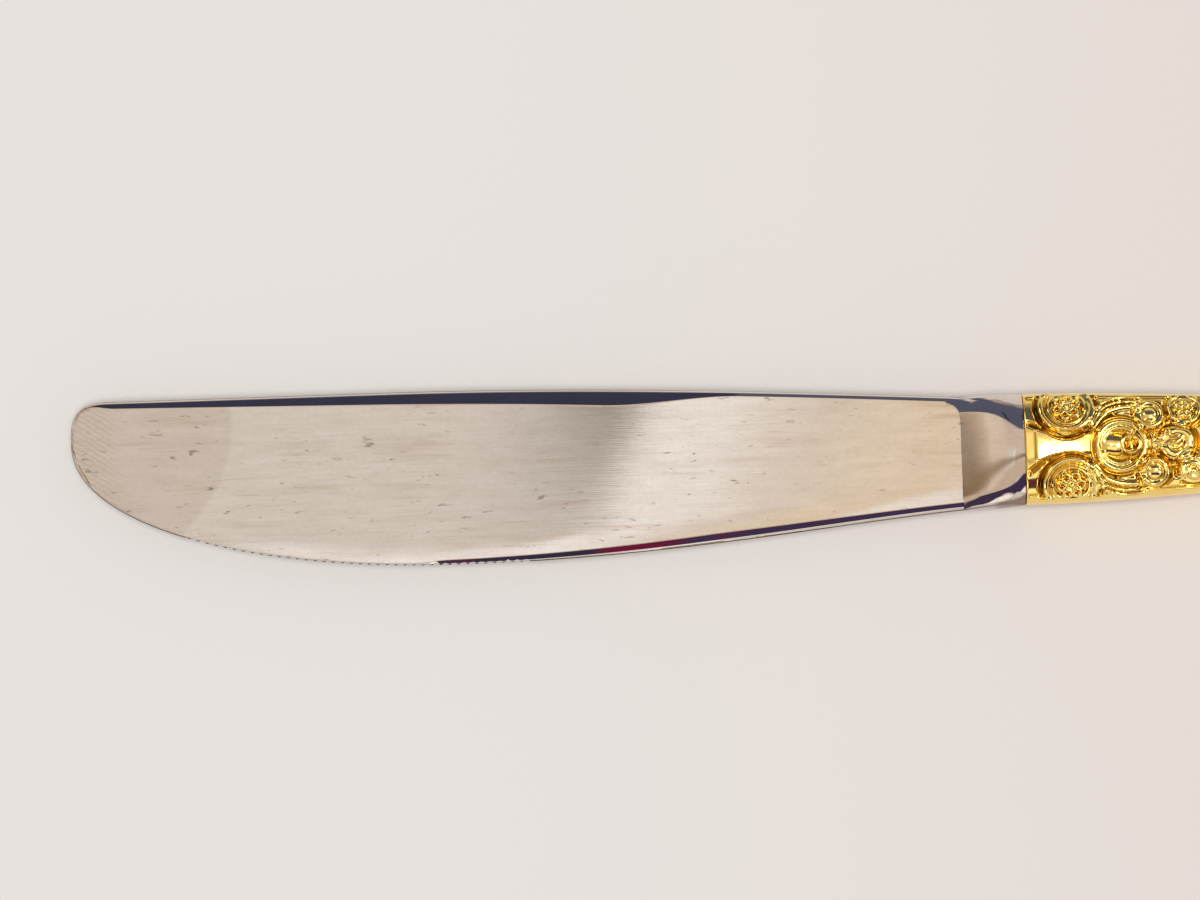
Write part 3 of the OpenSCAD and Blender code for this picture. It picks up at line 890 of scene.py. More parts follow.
def round_places(centre, radius, count, turn):
    """Places spread evenly round a circle."""
    turns = np.radians(turn + 360 * np.arange(count) / count)
    return [(centre[0] + radius * np.cos(a), centre[1] + radius * np.sin(a)) for a in turns]


# Half width, height and fullness of each form, and the radius of those that are round
FORMS = {
    "rosette groove": (0.36, -0.45, 0.8, 3.95),
    "rosette dish": (3.0, -0.36, 0.35),
    "rosette rim": (0.5, 0.45, 0.6, 3.35),
    "rosette ring": (0.25, 0.36, 0.7, 2.3),
    "petal": (0.27, 0.6, 0.6, 0.5),
    "pit": (0.22, -0.42, 0.6),
    "seed": (0.45, 0.6, 0.6),
    "flower groove": (0.36, -0.38, 0.8, 2.65),
    "flower dish": (1.9, -0.28, 0.4),
    "flower ring": (0.4, 0.4, 0.6, 2.05),
    "small petal": (0.27, 0.52, 0.6, 0.4),
    "curl groove": (0.36, -0.42, 0.8),
    "curl": (0.42, 0.52, 0.6),
    "roundel groove": (0.3, -0.36, 0.8, 3.75),
    "roundel dish": (2.8, -0.42, 0.35),
    "roundel frame": (0.5, 0.46, 0.6, 3.05),
    "roundel dome": (1.35, 0.52, 0.6),
    "roundel ring": (0.32, 0.62, 0.6, 1.1),
    "roundel seed": (0.36, 0.62, 0.6),
    "roundel upper line": (0.27, 0.46, 0.6, 2.3),
    "roundel lower line": (0.27, 0.46, 0.6, 2.3),
    "rib": (0.48, 0.55, 0.6),
    "rib groove": (0.2, -0.58, 0.8),
    "volute groove": (0.3, -0.42, 0.8, 2.25),
    "volute": (0.45, 0.5, 0.6, 1.65),
    "volute ball": (1.05, 0.58, 0.55),
    "bud groove": (0.36, -0.45, 0.8, 2.75),
    "bud": (0.75, 0.58, 0.55, 1.8),
    "bud tip": (0.4, 0.5, 0.6),
    "stem": (0.33, 0.44, 0.7),
    "neck groove": (0.36, -0.45, 0.8),
    "low neck groove": (0.36, -0.4, 0.8),
    "fan": (0.45, 0.3, 0.6),
    "border": (0.2, 0.16, 0.7),
    "border groove": (0.22, -0.2, 0.8),
}

# Where the round forms that stay open start and end, in degrees
ARCS = {
    "rosette rim": (60, 390),
    "roundel upper line": (50, 165),
    "roundel lower line": (-60, -160),
    "volute groove": (175, -150),
    "volute": (150, -130),
    "bud groove": (-165, 165),
    "bud": (-150, 115),
}
# Radii at which the spirals end, and the groove round a curl
RIM_END = 3.0
BUD_END = 1.5
CURL_END = 0.3
CURL_GAP = 0.8
CURL_TURN = 330
# What lies in a roundel, from its middle: its dome and its seed with the way they stretch
ROUNDEL_DOME = ((-1.0, 0.2), (0.35, -0.05))
ROUNDEL_SEED = ((1.2, 0.1), (0.12, -0.4))
ROUNDEL_RING = (1.25, 0.15)
ROUNDEL_LINES = (-0.1, 0.0)
# The leaf's ribs from the roundel's middle, for the upper leaf
LEAF_RIBS = (
    ((-3.4, 2.4), (-2.2, 3.95), (-0.7, 4.7), (1.0, 5.0), (2.5, 5.0)),
    ((-3.5, 2.95), (-2.4, 4.6), (-0.9, 5.4), (1.0, 5.7), (2.5, 5.65)),
    ((-3.5, 3.6), (-2.5, 5.2), (-1.0, 6.05), (1.0, 6.4), (2.6, 6.25)),
)
# The two lines beside the neck's plate
NECK_LINES = {
    "neck groove": ((-1.0, 3.4), (0.6, 2.75), (2.6, 2.0), (5.4, 1.55), (8.3, 1.7)),
    "low neck groove": ((-1.0, -4.6), (0.8, -3.0), (2.8, -1.75), (5.6, -1.3), (8.3, -1.9)),
}
# The bud's tip and the three ribs of its stem, from the bud's middle
BUD_TIP = ((-1.0, -0.2), (-0.2, -0.1), (0.35, 0.35))
STEM_END = -2.1
STEM_SPREAD = (-0.62, 0.0, 0.62)
STEM_SHARES = (0.6, 0.8, 1.5)
PETALS_AT = 1.2
SMALL_PETALS_AT = 0.85

# Places of the motifs from the start of a repeat, and of those round a roundel from its middle
UPPER_ROSETTE = (0.0, 5.0)
LOWER_ROSETTE = (0.3, -5.15)
FLOWER = (-1.2, 4.5)
CURL = (-0.1, -3.7)
ROUNDEL = (6.7, -0.3)
UPPER_VOLUTE = (3.8, 3.7)
LOWER_VOLUTE = (4.2, -3.9)
STEM_FROM = 3.3
BUD = (7.3, -0.1)

# The butt: a larger rosette before its place, and a fan of ribs behind that
BUTT_ROSETTE = 1.15
BUTT_LEAD = 0.6
FAN_TURNS = (-66, -44, -22, 0, 22, 44, 66)
FAN_FROM = 4.9
FAN_GAP = 1.0
BORDER_STEPS = 240
BORDER_FROM = -1.0
BORDER_GAP = 2.5
BORDER_GROOVE = 0.4
BORDER_REACH = 0.3


class Ornament:
    """Families of lines that share a half width, a height and a fullness."""

    def __init__(self):
        self.families = {}

    def draw(self, name, *lines, wider=1.0):
        """Adds lines of a named form."""
        half_width, height, fullness = FORMS[name][:3]
        self.families.setdefault((half_width * wider, height, fullness), []).extend(lines)

    def ring(self, name, centre, size=1.0, turn=0, side=1, radius_end=None):
        """Adds a circle, an arc or a spiral of a named form; side is -1 for its mirror image."""
        start, end = [turn + side * place for place in ARCS.get(name, (0.0, 360.0))]
        self.draw(name, arc(centre, FORMS[name][3] * size, start, end, radius_end))

    def rosette(self, c, size, petals, turn):
        """A looped flower in a dish, inside two rings and a groove."""
        self.ring("rosette groove", c, size)
        self.draw("rosette dish", short(c), wider=size)
        self.ring("rosette rim", c, size, turn, radius_end=RIM_END * size)
        self.ring("rosette ring", c, size)
        for place in round_places(c, PETALS_AT * size, petals, turn):
            self.ring("petal", place, size)
            self.draw("pit", short(place))
        self.draw("seed", short(c))

    def flower(self, c):
        """A smaller flower in one ring."""
        self.ring("flower groove", c)
        self.draw("flower dish", short(c))
        self.ring("flower ring", c)
        for place in round_places(c, SMALL_PETALS_AT, count=5, turn=18):
            self.ring("small petal", place)

    def curl(self, c, size, start, end):
        """A spiral in a groove."""
        turn = CURL_TURN if end > start else -CURL_TURN
        self.draw("curl groove", arc(c, size + CURL_GAP, start, start + turn))
        self.draw("curl", arc(c, size, start, end, CURL_END))

    def roundel(self, c):
        """A round frame with a dome, a small ring and a seed in it."""
        self.ring("roundel groove", c)
        self.draw("roundel dish", short(c))
        self.ring("roundel frame", c)
        self.draw("roundel dome", short(np.add(c, ROUNDEL_DOME[0]), ROUNDEL_DOME[1]))
        self.ring("roundel ring", np.add(c, ROUNDEL_RING))
        self.draw("roundel seed", short(np.add(c, ROUNDEL_SEED[0]), ROUNDEL_SEED[1]))
        self.ring("roundel upper line", np.add(c, ROUNDEL_LINES))
        self.ring("roundel lower line", np.add(c, ROUNDEL_LINES))

    def leaf(self, c, volute, side):
        """Ribs that sweep past the roundel and flare, with a curl at their end."""
        ribs = [np.array(rib) * (1, side) + c for rib in LEAF_RIBS]
        for rib in ribs:
            self.draw("rib", through(*rib))
        for rib, after in zip(ribs, ribs[1:]):
            self.draw("rib groove", through(*((rib + after) / 2)))
        self.ring("volute groove", volute, side=side)
        self.ring("volute", volute, side=side)
        self.draw("volute ball", short(volute))

    def bud(self, c, stem_from):
        """A hooked bud on a ribbed stem."""
        x, v = c
        self.ring("bud groove", c)
        self.ring("bud", c, radius_end=BUD_END)
        self.draw("bud tip", through(*np.add(BUD_TIP, c)))
        stem_to = x + STEM_END
        stem = (stem_from, mix(stem_from, stem_to, 0.5), stem_to)
        for off in STEM_SPREAD:
            self.draw("stem", through(*[(at, v + share * off) for at, share in zip(stem, STEM_SHARES)]))


def beyond(start, place):
    """A place, moved along the handle by its start."""
    return start + place[0], place[1]


def handle_ornament(k, lane):
    """All the lines of one side of the handle, and where its border runs."""
    art = Ornament()

    def pattern_x(x):
        return float(np.interp(x, lane.x, lane.travel))

    for i in range(k.repeats):
        start = pattern_x(k.rosette_at + k.repeat_l * i)
        if i % 2 == 0:
            art.rosette(beyond(start, UPPER_ROSETTE), size=1.0, petals=6, turn=20)
            art.rosette(beyond(start, LOWER_ROSETTE), size=1.0, petals=6, turn=5)
        else:
            art.flower(beyond(start, FLOWER))
            art.curl(beyond(start, CURL), size=1.75, start=200, end=-500)
        roundel = beyond(start, ROUNDEL)
        art.roundel(roundel)
        art.leaf(roundel, beyond(roundel[0], UPPER_VOLUTE), side=1)
        art.leaf(roundel, beyond(roundel[0], LOWER_VOLUTE), side=-1)
        if i + 1 < k.repeats:
            art.bud(beyond(roundel[0], BUD), roundel[0] + STEM_FROM)

    for name, places in NECK_LINES.items():
        art.draw(name, through(*places))

    centre = np.array([pattern_x(k.butt_at) - BUTT_LEAD, 0.0])
    art.rosette(centre, BUTT_ROSETTE, petals=8, turn=0)
    end = float(lane.travel[-1])
    for turn in np.radians(FAN_TURNS):
        way = np.array([np.cos(turn), np.sin(turn)])
        near, far = centre + FAN_FROM * way, centre + (end - centre[0] - FAN_GAP) * way
        art.draw("fan", through(near, mix(near, far, 0.5), far))

    # The line that closes the ornament along both sides
    border = lane.girth - k.border_h
    span = np.linspace(BORDER_FROM, end - BORDER_GAP, BORDER_STEPS)
    for side in (1, -1):
        for name, height in (("border", border), ("border groove", border - BORDER_GROOVE)):
            art.draw(name, np.stack([span, np.full_like(span, side * height)], axis=1))
    return art, border


def path_object(name, lines):
    """The lines of one family as an object of edges on the flat pattern."""
    points, edges = [], []
    for line in lines:
        first = len(points)
        points += [(x * MM, v * MM, 0.0) for x, v in line]
        edges += [(first + i, first + i + 1) for i in range(len(line) - 1)]
    mesh = bpy.data.meshes.new(name)
    mesh.from_pydata(points, edges, [])
    return show(name, mesh)


def raise_tree():
    """Node tree that raises or sinks a rounded form along a family of lines."""
    tree, sizes = new_tree("Raise relief", {
        "Lines": "Object", "Half width": "Distance", "Height": "Distance", "Border": "Distance",
        "Fullness": "Float"})
    lines = add(tree, "GeometryNodeObjectInfo", {"Object": sizes["Lines"]}, transform_space="ORIGINAL")
    pattern = field(tree, "pattern", "FLOAT_VECTOR")
    near = add(tree, "GeometryNodeProximity",
               {0: lines.outputs["Geometry"], "Source Position": pattern}, target_element="EDGES")
    share = maths(tree, "DIVIDE", near.outputs["Distance"], sizes["Half width"], clamp=True)
    rest = maths(tree, "SUBTRACT", 1.0, maths(tree, "MULTIPLY", share, share), clamp=True)
    form = maths(tree, "POWER", rest, sizes["Fullness"])
    # Nothing is raised on the plain border beyond the closing line
    split = add(tree, "ShaderNodeSeparateXYZ", {0: pattern})
    within = maths(tree, "LESS_THAN", maths(tree, "ABSOLUTE", split.outputs["Y"]), sizes["Border"])
    lift = maths(tree, "MULTIPLY", maths(tree, "MULTIPLY", form, within), sizes["Height"])
    higher = maths(tree, "MAXIMUM", field(tree, "raise"), lift)
    lower = maths(tree, "MINIMUM", field(tree, "ground"), lift)
    up = store(tree, sizes["Geometry"], "raise", higher)
    add(tree, "NodeGroupOutput", {"Geometry": store(tree, up, "ground", lower)})
    return tree


def lift_tree():
    """Node tree that moves the shell's wall by its relief and keeps relief and slope for the material."""
    tree, sizes = new_tree("Lift relief", {"Material": "Material"})
    normal = field(tree, "normal_out", "FLOAT_VECTOR")
    both = maths(tree, "ADD", field(tree, "raise"), field(tree, "ground"))
    lift = maths(tree, "MULTIPLY", both, field(tree, "fade"))
    soft = add(tree, "GeometryNodeBlurAttribute", {"Value": lift, "Iterations": 1}, data_type="FLOAT")
    move = add(tree, "ShaderNodeVectorMath", {0: normal, "Scale": soft}, operation="SCALE")
    kept = store(tree, sizes["Geometry"], "relief", maths(tree, "MULTIPLY", soft, 1 / MM))
    moved = add(tree, "GeometryNodeSetPosition", {"Geometry": kept, "Offset": move})
    turned = add(tree, "GeometryNodeInputNormal")
    facing = add(tree, "ShaderNodeVectorMath", {0: turned, 1: normal}, operation="DOT_PRODUCT")
    dress(tree, store(tree, moved, "facing", facing.outputs["Value"]), sizes["Material"])
    return tree


# Materials: sizes are in millimetres and places in metres along the row frame's axes

# Polishing lines on the flat of the blade are drawn wider than the real ones so that they show
POLISH_LINES = (18, 0.14, 0.14)
RUBBED_CLOUDS = (5, 1.2, 1.2)
MOTTLING = 0.5
WEAR_PATCHES = 9
# Turn, length, width, least and full noise of each kind of wear
WEAR = {
    "smudge": (0.15, 2.2, 0.7, 0.66, 0.7),
    "stroke": (0.9, 2.6, 0.5, 0.67, 0.71),
    "streak": (0.0, 7, 0.25, 0.61, 0.73),
    "tint": (0.05, 16, 1.1, 0.5, 0.75),
}
# Marks of a rough stone across the nose; the bands of a wave texture lie 0.314 apart at scale 1
STONE_PITCH = 0.6
STONE_TURN = -1.0
STONE_FROM = -0.1025
STONE_TO = -0.1055
WAVE_BAND = 0.314
# The curved line up to which the nose is stained
TIDE_TOP = 0.0075
TIDE_BEND = 35.5
TIDE_FROM = -0.0889
TIDE_TO = -0.0896
# Strength and colour of each mark, in the order in which they lie on the steel
MARKS = {
    "tide": (0.22, "#BFA288"),
    "stone": (0.6, "#BBA086"),
    "streak": (0.4, "#B99F86"),
    "tint": (0.5, "#C4AC92"),
    "stroke": (0.6, "#8F7E6E"),
    "smudge": (0.7, "#86756A"),
    # A grey, duller patch below the bolster's lower chamfer, near the mouth
    "stain": (1.0, "#9A857C"),
    # Painted shade along the blade's outermost rim
    "outline": (1.0, "#6E5C52"),
}
MIRROR_ROUGHNESS = 0.018
# What each mark adds to the roughness
ROUGHER = {"worn": 0.014, "smudge": 0.08, "face": 0.08, "stain": 0.25}


def new_material(name):
    """An empty node material with its Principled shader, and the place on the object that patterns follow."""
    material = bpy.data.materials.new(name)
    material.use_nodes = True
    tree = material.node_tree
    tree.nodes.clear()
    shader = add(tree, "ShaderNodeBsdfPrincipled")
    add(tree, "ShaderNodeOutputMaterial", {"Surface": shader})
    return material, tree, shader, add(tree, "ShaderNodeTexCoord").outputs["Object"]


def steel_material(finish):
    """Stainless steel, ground and then polished along the blade: the flat is nearly a mirror, drawn out by
    fine lines along it, with smudges, strokes and streaks from years of use and a tide mark near the nose.
    The bolster's face is brushed dull, and painted shade darkens the outermost rim."""
    material, tree, shader, place = new_material("stainless_steel_satin_polished")
    satin = mark(tree, "satin")
    lines = noise(tree, place, POLISH_LINES, 3.0)
    clouds = noise(tree, place, RUBBED_CLOUDS, 6.0, 0.65)
    grain = noise(tree, place, MOTTLING, 3.0)
    # Wear comes in patches
    patch = limit(tree, noise(tree, place, WEAR_PATCHES, 1.0), 0.4, 0.6, 0.15)
    used = maths(tree, "MULTIPLY", patch, satin)
    marks = {name: mark(tree, name) for name in ("face", "stain", "outline")}
    for name, (turn, long, wide, least, full) in WEAR.items():
        worn_spots = noise(tree, place, (long, wide, long), 3.0, 0.6, turn)
        marks[name] = maths(tree, "MULTIPLY", limit(tree, worn_spots, least, full), used)
    split = add(tree, "ShaderNodeSeparateXYZ", {0: place}).outputs
    hatch_at = add(tree, "ShaderNodeMapping", {"Vector": place, "Rotation": (0.0, 0.0, STONE_TURN)})
    hatch = add(tree, "ShaderNodeTexWave", {
        "Vector": hatch_at, "Scale": WAVE_BAND / (STONE_PITCH * MM), "Distortion": 4.0, "Detail": 3.0,
        "Detail Scale": 1.5}, bands_direction="X")
    nose = limit(tree, split["X"], STONE_FROM, STONE_TO, 0.0, 0.5)
    marks["stone"] = maths(tree, "MULTIPLY", hatch, nose)
    drop = maths(tree, "SUBTRACT", TIDE_TOP, split["Y"])
    shore = maths(tree, "MULTIPLY_ADD", maths(tree, "MULTIPLY", drop, drop), TIDE_BEND, split["X"])
    marks["tide"] = maths(tree, "MULTIPLY", limit(tree, shore, TIDE_FROM, TIDE_TO), satin)

    cloudy = limit(tree, clouds, 0.35, 0.7, 0.0, 0.5)
    fine = limit(tree, lines, 0.3, 0.7, 0.0, 0.3)
    mottled = limit(tree, grain, 0.3, 0.7, 0.0, 0.3)
    marks["worn"] = maths(tree, "ADD", maths(tree, "ADD", cloudy, fine), mottled, clamp=True)
    tone = blend(tree, marks["worn"], list(finish.steel), list(finish.steel_worn))
    for name, (strength, stain) in MARKS.items():
        tone = blend(tree, maths(tree, "MULTIPLY", marks[name], strength), tone, linear(stain))
    rough = MIRROR_ROUGHNESS
    for name, more in ROUGHER.items():
        rough = maths(tree, "MULTIPLY_ADD", marks[name], more, rough)
    cut = maths(tree, "MULTIPLY_ADD", marks["stroke"], -0.8, lines)
    relief = add(tree, "ShaderNodeBump", {"Height": cut, "Strength": 0.2, "Distance": 0.000004})
    wire(tree, shader, {"Base Color": tone, "Roughness": rough, "Normal": relief, "Metallic": 1.0})
    return material


# The gold: sizes of its clouds, of the pressed sheet's unevenness and of rubbing marks
PLATE_CLOUDS = 5
PRESSED_PEEL = 0.7
RUBBING = 0.12
# Relief in millimetres from deep gold under painted shade to bright gold, and from clean grooves to grooves
# darkened by tarnish and painted shade
BRIGHT_FROM = -0.3
BRIGHT_TO = 0.05
SHADE_AND_TARNISH_FROM = -0.3
SHADE_AND_TARNISH_TO = -0.43
# Painted shade on the steep sides of the forms: cosines of the lean where it starts and where it is full
STEEP_SIDE = (0.9, 0.6)


def gold_material(finish):
    """Brass sheet, pressed in a die and gold plated: smooth bright yellow on the raised forms, with painted
    shade as deeper amber in the recesses and on steep sides, and as brown in the grooves, which is also
    tarnish."""
    material, tree, shader, place = new_material("brass_pressed_gold_plated")
    relief = mark(tree, "relief")
    clouds = noise(tree, place, PLATE_CLOUDS, 3.0)
    peel = noise(tree, place, PRESSED_PEEL, 2.0)
    rubbed = noise(tree, place, RUBBING, 2.0)
    high = limit(tree, relief, BRIGHT_FROM, BRIGHT_TO, curve="SMOOTHSTEP")
    groove = limit(tree, relief, SHADE_AND_TARNISH_FROM, SHADE_AND_TARNISH_TO, 0.0, 0.9, "SMOOTHSTEP")
    steep = limit(tree, mark(tree, "facing"), *STEEP_SIDE, 0.0, 0.55, "SMOOTHSTEP")
    shift = limit(tree, clouds, 0.35, 0.65, -0.12, 0.12)
    share = maths(tree, "ADD", high, shift, clamp=True)
    # Painted shade: deeper amber in recesses and on steep sides, brown in the grooves together with tarnish
    tone = blend(tree, share, list(finish.gold_deep), list(finish.gold))
    tone = blend(tree, steep, tone, list(finish.gold_side))
    tone = blend(tree, groove, tone, list(finish.tarnish_and_groove_shade))
    rough = maths(tree, "MULTIPLY_ADD", rubbed, 0.06, limit(tree, share, 0.0, 1.0, 0.14, 0.07))
    bump = add(tree, "ShaderNodeBump", {"Height": peel, "Strength": 0.35, "Distance": 0.00003})
    wire(tree, shader, {"Base Color": tone, "Roughness": rough, "Normal": bump, "Metallic": 1.0})
    return material


SOLDER_BEADS = 1.2
CEMENT_GRAIN = 0.4
CEMENT_HOLES = 1.5


def solder_material(finish):
    """Hard solder, run into the seam and wiped: a pale yellow line with soft dimples."""
    material, tree, shader, place = new_material("hard_solder_run")
    beads = noise(tree, place, SOLDER_BEADS, 2.0)
    tone = blend(tree, beads, linear("#C79A4B"), list(finish.solder))
    rough = limit(tree, beads, 0.3, 0.7, 0.22, 0.4)
    bump = add(tree, "ShaderNodeBump", {"Height": beads, "Strength": 0.3, "Distance": 0.00005})
    wire(tree, shader, {"Base Color": tone, "Roughness": rough, "Normal": bump, "Metallic": 1.0})
    return material


def cement_material(finish):
    """Cement, poured into the handle: dull, grainy and full of small air holes."""
    material, tree, shader, place = new_material("cement_cast")
    grain = noise(tree, place, CEMENT_GRAIN, 4.0)
    holes = add(tree, "ShaderNodeTexVoronoi", {"Vector": place, "Scale": 1 / (CEMENT_HOLES * MM)},
                feature="F1")
    hole = limit(tree, holes.outputs["Distance"], 0.1, 0.25, 1.0, 0.0)
    tone = blend(tree, grain, linear("#6F675B"), list(finish.cement))
    deep = maths(tree, "MULTIPLY_ADD", hole, -1.0, grain)
    bump = add(tree, "ShaderNodeBump", {"Height": deep, "Strength": 0.5, "Distance": 0.0001})
    wire(tree, shader, {"Base Color": tone, "Normal": bump, "Roughness": 0.9})
    return material


FLOOR_REACH = 4.0
WARM_FROM = -0.08
WARM_TO = 0.06


def floor_material(finish):
    """Matt painted board: pale, with painted shade that makes it a little darker and warmer towards the
    handle.
    """
    material, tree, shader, place = new_material("board_painted_matt")
    split = add(tree, "ShaderNodeSeparateXYZ", {0: place}).outputs
    along = limit(tree, split["X"], WARM_FROM, WARM_TO, curve="SMOOTHSTEP")
    tone = blend(tree, along, list(finish.floor), list(finish.floor_warm))
    wire(tree, shader, {"Base Color": tone, "Roughness": 0.9, "Specular IOR Level": 0.0})
    return material


# What the metal mirrors

# The ceiling over the flat of the blade, by a slanting angle: grey, then across an edge white and then tan
SLANT = -0.4
SLANT_SPAN = 4
CEILING = (
    (0.306, (0.80, 0.765, 0.736)),
    (0.322, (1.06, 1.05, 1.05)),
    (0.418, (1.0, 0.99, 0.99)),
    (0.463, (0.927, 0.866, 0.811)),
    (0.51, (0.85, 0.783, 0.715)),
    (0.6, (0.90, 0.792, 0.658)),
    (0.7, (0.88, 0.745, 0.58)),
    (0.74, (0.99, 0.95, 0.90)),
)
# A shade that deepens up to the slanting edge
SHADE = ((0.112, 0.0), (0.195, 0.3), (0.259, 0.75), (0.3, 1.0), (0.308, 1.0), (0.318, 0.0))
# The room beyond the nose, by the reflection's x from -1 to 0
BROWN = (
    (0.07, (0.40, 0.32, 0.265)),
    (0.12, (0.57, 0.445, 0.34)),
    (0.26, (0.83, 0.70, 0.59)),
    (0.56, (0.79, 0.67, 0.575)),
)
# The stripe of red and blue in front of the knife, by its angle along the knife in degrees
STRIPE_SPAN = (-3, 9)
STRIPE = (
    (0.15, "#463A52"),
    (0.157, "#7A1C42"),
    (0.17, "#7A1C42"),
    (0.18, "#37344F"),
    (0.483, "#37344F"),
    (0.5, "#7A1C42"),
    (0.65, "#6A2044"),
    (0.69, "#45375A"),
)
# The olive line leans by this angle along the knife, and lies this angle in front of it
OLIVE_LEAN = 4.4
OLIVE_PLACE = 2.7

# A limit names what it reads and where its share is 0 and 1; two more values stand in for that 0 and 1. x
# and z are parts of the reflection's direction. Across, which is above 0 behind the knife, and olive are
# angles in degrees.
ANGLES = ("across", "olive")
CROWN = ("x", 0.4, 0.25, 0.0, 0.95)
FAR_RISE = ("across", 20.5, 23.5)
FAR_END = ("x", 0.75, 0.85, 1.0, 0.3)
PALE = ("across", -5, -8)
# Colour of each screen, painted over those before it, and the limits whose product is its share. Where
# there are several sets of limits, the largest product counts. A screen with no colour has a ramp.
SCREENS = {
    "shade": ((0.34, 0.315, 0.30), [
        [("shade", 0.0, 1.0), ("across", 2.5, 3.85, 0.12, 1.0), ("across", 4.9, 5.6, 1.0, 0.0)]]),
    "tan": ((0.71, 0.585, 0.505), [[("across", 4.9, 5.6), CROWN], [("x", 0.052, 0.058), CROWN]]),
    "strip": ((1.06, 1.04, 1.07), [[
        ("across", 2.35, 0.2), ("x", 0.01, -0.015), ("x", -0.075, -0.06), ("across", -1.2, -0.2)]]),
    "brown": (None, [[("x", -0.2, -0.4)]]),
    "dark": ((0.42, 0.33, 0.25), [[("x", 0.4, 0.7)]]),
    "navy": ("#3C3F56", [[FAR_RISE, FAR_END]]),
    "slate": ("#5C6078", [
        [("x", -0.1, -0.12), FAR_RISE, FAR_END],
        [("x", 0.03, 0.04), FAR_RISE, FAR_END],
        [("across", 44, 46), FAR_RISE, FAR_END]]),
    "grey": ((0.44, 0.38, 0.335), [[("across", 57, 63)]]),
    "olive": ((0.24, 0.155, 0.065), [[("olive", 1.2, 2.6, 0.85, 0.0), CROWN]]),
    "pale": ((0.66, 0.54, 0.43), [[PALE]]),
    "bright": ((1.1, 1.05, 1.0), [[PALE, ("x", 0.38, 0.48)]]),
    "low": ((1.1, 1.08, 1.06), [[("across", -48, -52)]]),
    "stripe": (None, [[("across", -26, -29), ("across", -50, -54, 1.0, 0.0)]]),
}
# The plain horizon below all of it, with its upper edge on the near and the far side, and the two corners
# towards the nose where the room goes on down to the floor
HORIZON = (0.74, 0.7, 0.66)
NEAR_EDGE = ("z", 0.27, 0.3)
FAR_EDGE = ("z", 0.305, 0.335)
FAR_SIDE = ("across", 30, 36)
CORNERS = [[("x", -0.69, -0.73), ("across", 1, 4)], [("x", -0.3, -0.4), ("across", 46, 48)]]

# The light: the sky's share of it, and the windows' distance and colour
SKY_SHARE = 0.35
LAMP_ANGLE = 20
WINDOW_REACH = 3.0
WINDOW_LIGHT = (1.0, 0.97, 0.9)
# Slopes along and across the knife, half width in degrees and light of each window
WINDOWS = (
    (0.36, 0.0, 9, 8.0),
    (1.9, 0.7, 9, 6.0),
    (1.8, -0.8, 9, 6.0),
    (-1.4, 0.9, 9, 5.0),
    (-1.2, -1.1, 9, 5.0),
    (0.07, 0.115, 9, 0.35),
    (0.09, -0.31, 9, 0.6),
)
SENSOR_W = 36.0
CLIP_START = 0.01


def largest_share(tree, readings, choices):
    """The largest of the products of some sets of limits."""
    largest = None
    for limits in choices:
        product = None
        for name, start, end, *heights in limits:
            unit = DEGREE if name in ANGLES else 1.0
            part = limit(tree, readings[name], start * unit, end * unit, *heights)
            product = part if product is None else maths(tree, "MULTIPLY", product, part)
        largest = product if largest is None else maths(tree, "MAXIMUM", largest, product)
    return largest


def mirrored_room(tree):
    """The colours that mirrors see: a soft ceiling, the screens and walls round it and a pale horizon."""
    way = add(tree, "ShaderNodeTexCoord").outputs["Generated"]
    split = add(tree, "ShaderNodeSeparateXYZ", {0: way}).outputs
    across = maths(tree, "ARCSINE", split["Y"])
    along = maths(tree, "ARCTAN2", split["X"], split["Z"])
    slant = maths(tree, "MULTIPLY_ADD", across, SLANT, along)
    swing = limit(tree, slant, -SLANT_SPAN * DEGREE, SLANT_SPAN * DEGREE)
    lean = maths(tree, "MULTIPLY_ADD", split["X"], OLIVE_LEAN * DEGREE, across)
    readings = {
        "x": split["X"],
        "z": split["Z"],
        "across": across,
        "olive": maths(tree, "ABSOLUTE", maths(tree, "ADD", lean, OLIVE_PLACE * DEGREE)),
        "shade": colour_ramp(tree, swing, [(place, (grey, grey, grey)) for place, grey in SHADE]),
    }
    stretch = limit(tree, along, STRIPE_SPAN[0] * DEGREE, STRIPE_SPAN[1] * DEGREE)
    ramps = {
        "brown": colour_ramp(tree, limit(tree, split["X"], -1.0, 0.0), BROWN),
        "stripe": colour_ramp(tree, stretch, STRIPE),
    }
    view = colour_ramp(tree, swing, CEILING)
    for name, (tone, choices) in SCREENS.items():
        tint = ramps[name] if tone is None else paint(tone)
        view = blend(tree, largest_share(tree, readings, choices), view, tint)
    edges = [largest_share(tree, readings, [[edge]]) for edge in (FAR_SIDE, NEAR_EDGE, FAR_EDGE)]
    over = add(tree, "ShaderNodeMix", dict(zip((0, 2, 3), edges)))
    over = maths(tree, "MAXIMUM", over, largest_share(tree, readings, CORNERS))
    return blend(tree, over, paint(HORIZON), view)


def studio_world():
    """Even white light, with a white background for the camera and a room for mirrors."""
    world = bpy.data.worlds.new("studio")
    world.use_nodes = True
    # Rays are followed, not aimed: the light is even, and mirrors see it as it is drawn
    world.cycles.sampling_method = "NONE"
    tree = world.node_tree
    tree.nodes.clear()
    mirrored = add(tree, "ShaderNodeBackground", {"Color": mirrored_room(tree), "Strength": 1.0})
    plain = add(tree, "ShaderNodeBackground", {"Color": (1.0, 1.0, 1.0, 1.0), "Strength": SKY_SHARE})
    white = add(tree, "ShaderNodeBackground", {"Color": (1.0, 1.0, 1.0, 1.0), "Strength": 1.0})
    ray = add(tree, "ShaderNodeLightPath").outputs
    lit = add(tree, "ShaderNodeMixShader", {0: ray["Is Camera Ray"], 1: plain, 2: white})
    seen = add(tree, "ShaderNodeMixShader", {0: ray["Is Glossy Ray"], 1: lit, 2: mirrored})
    add(tree, "ShaderNodeOutputWorld", {"Surface": seen})
    return world


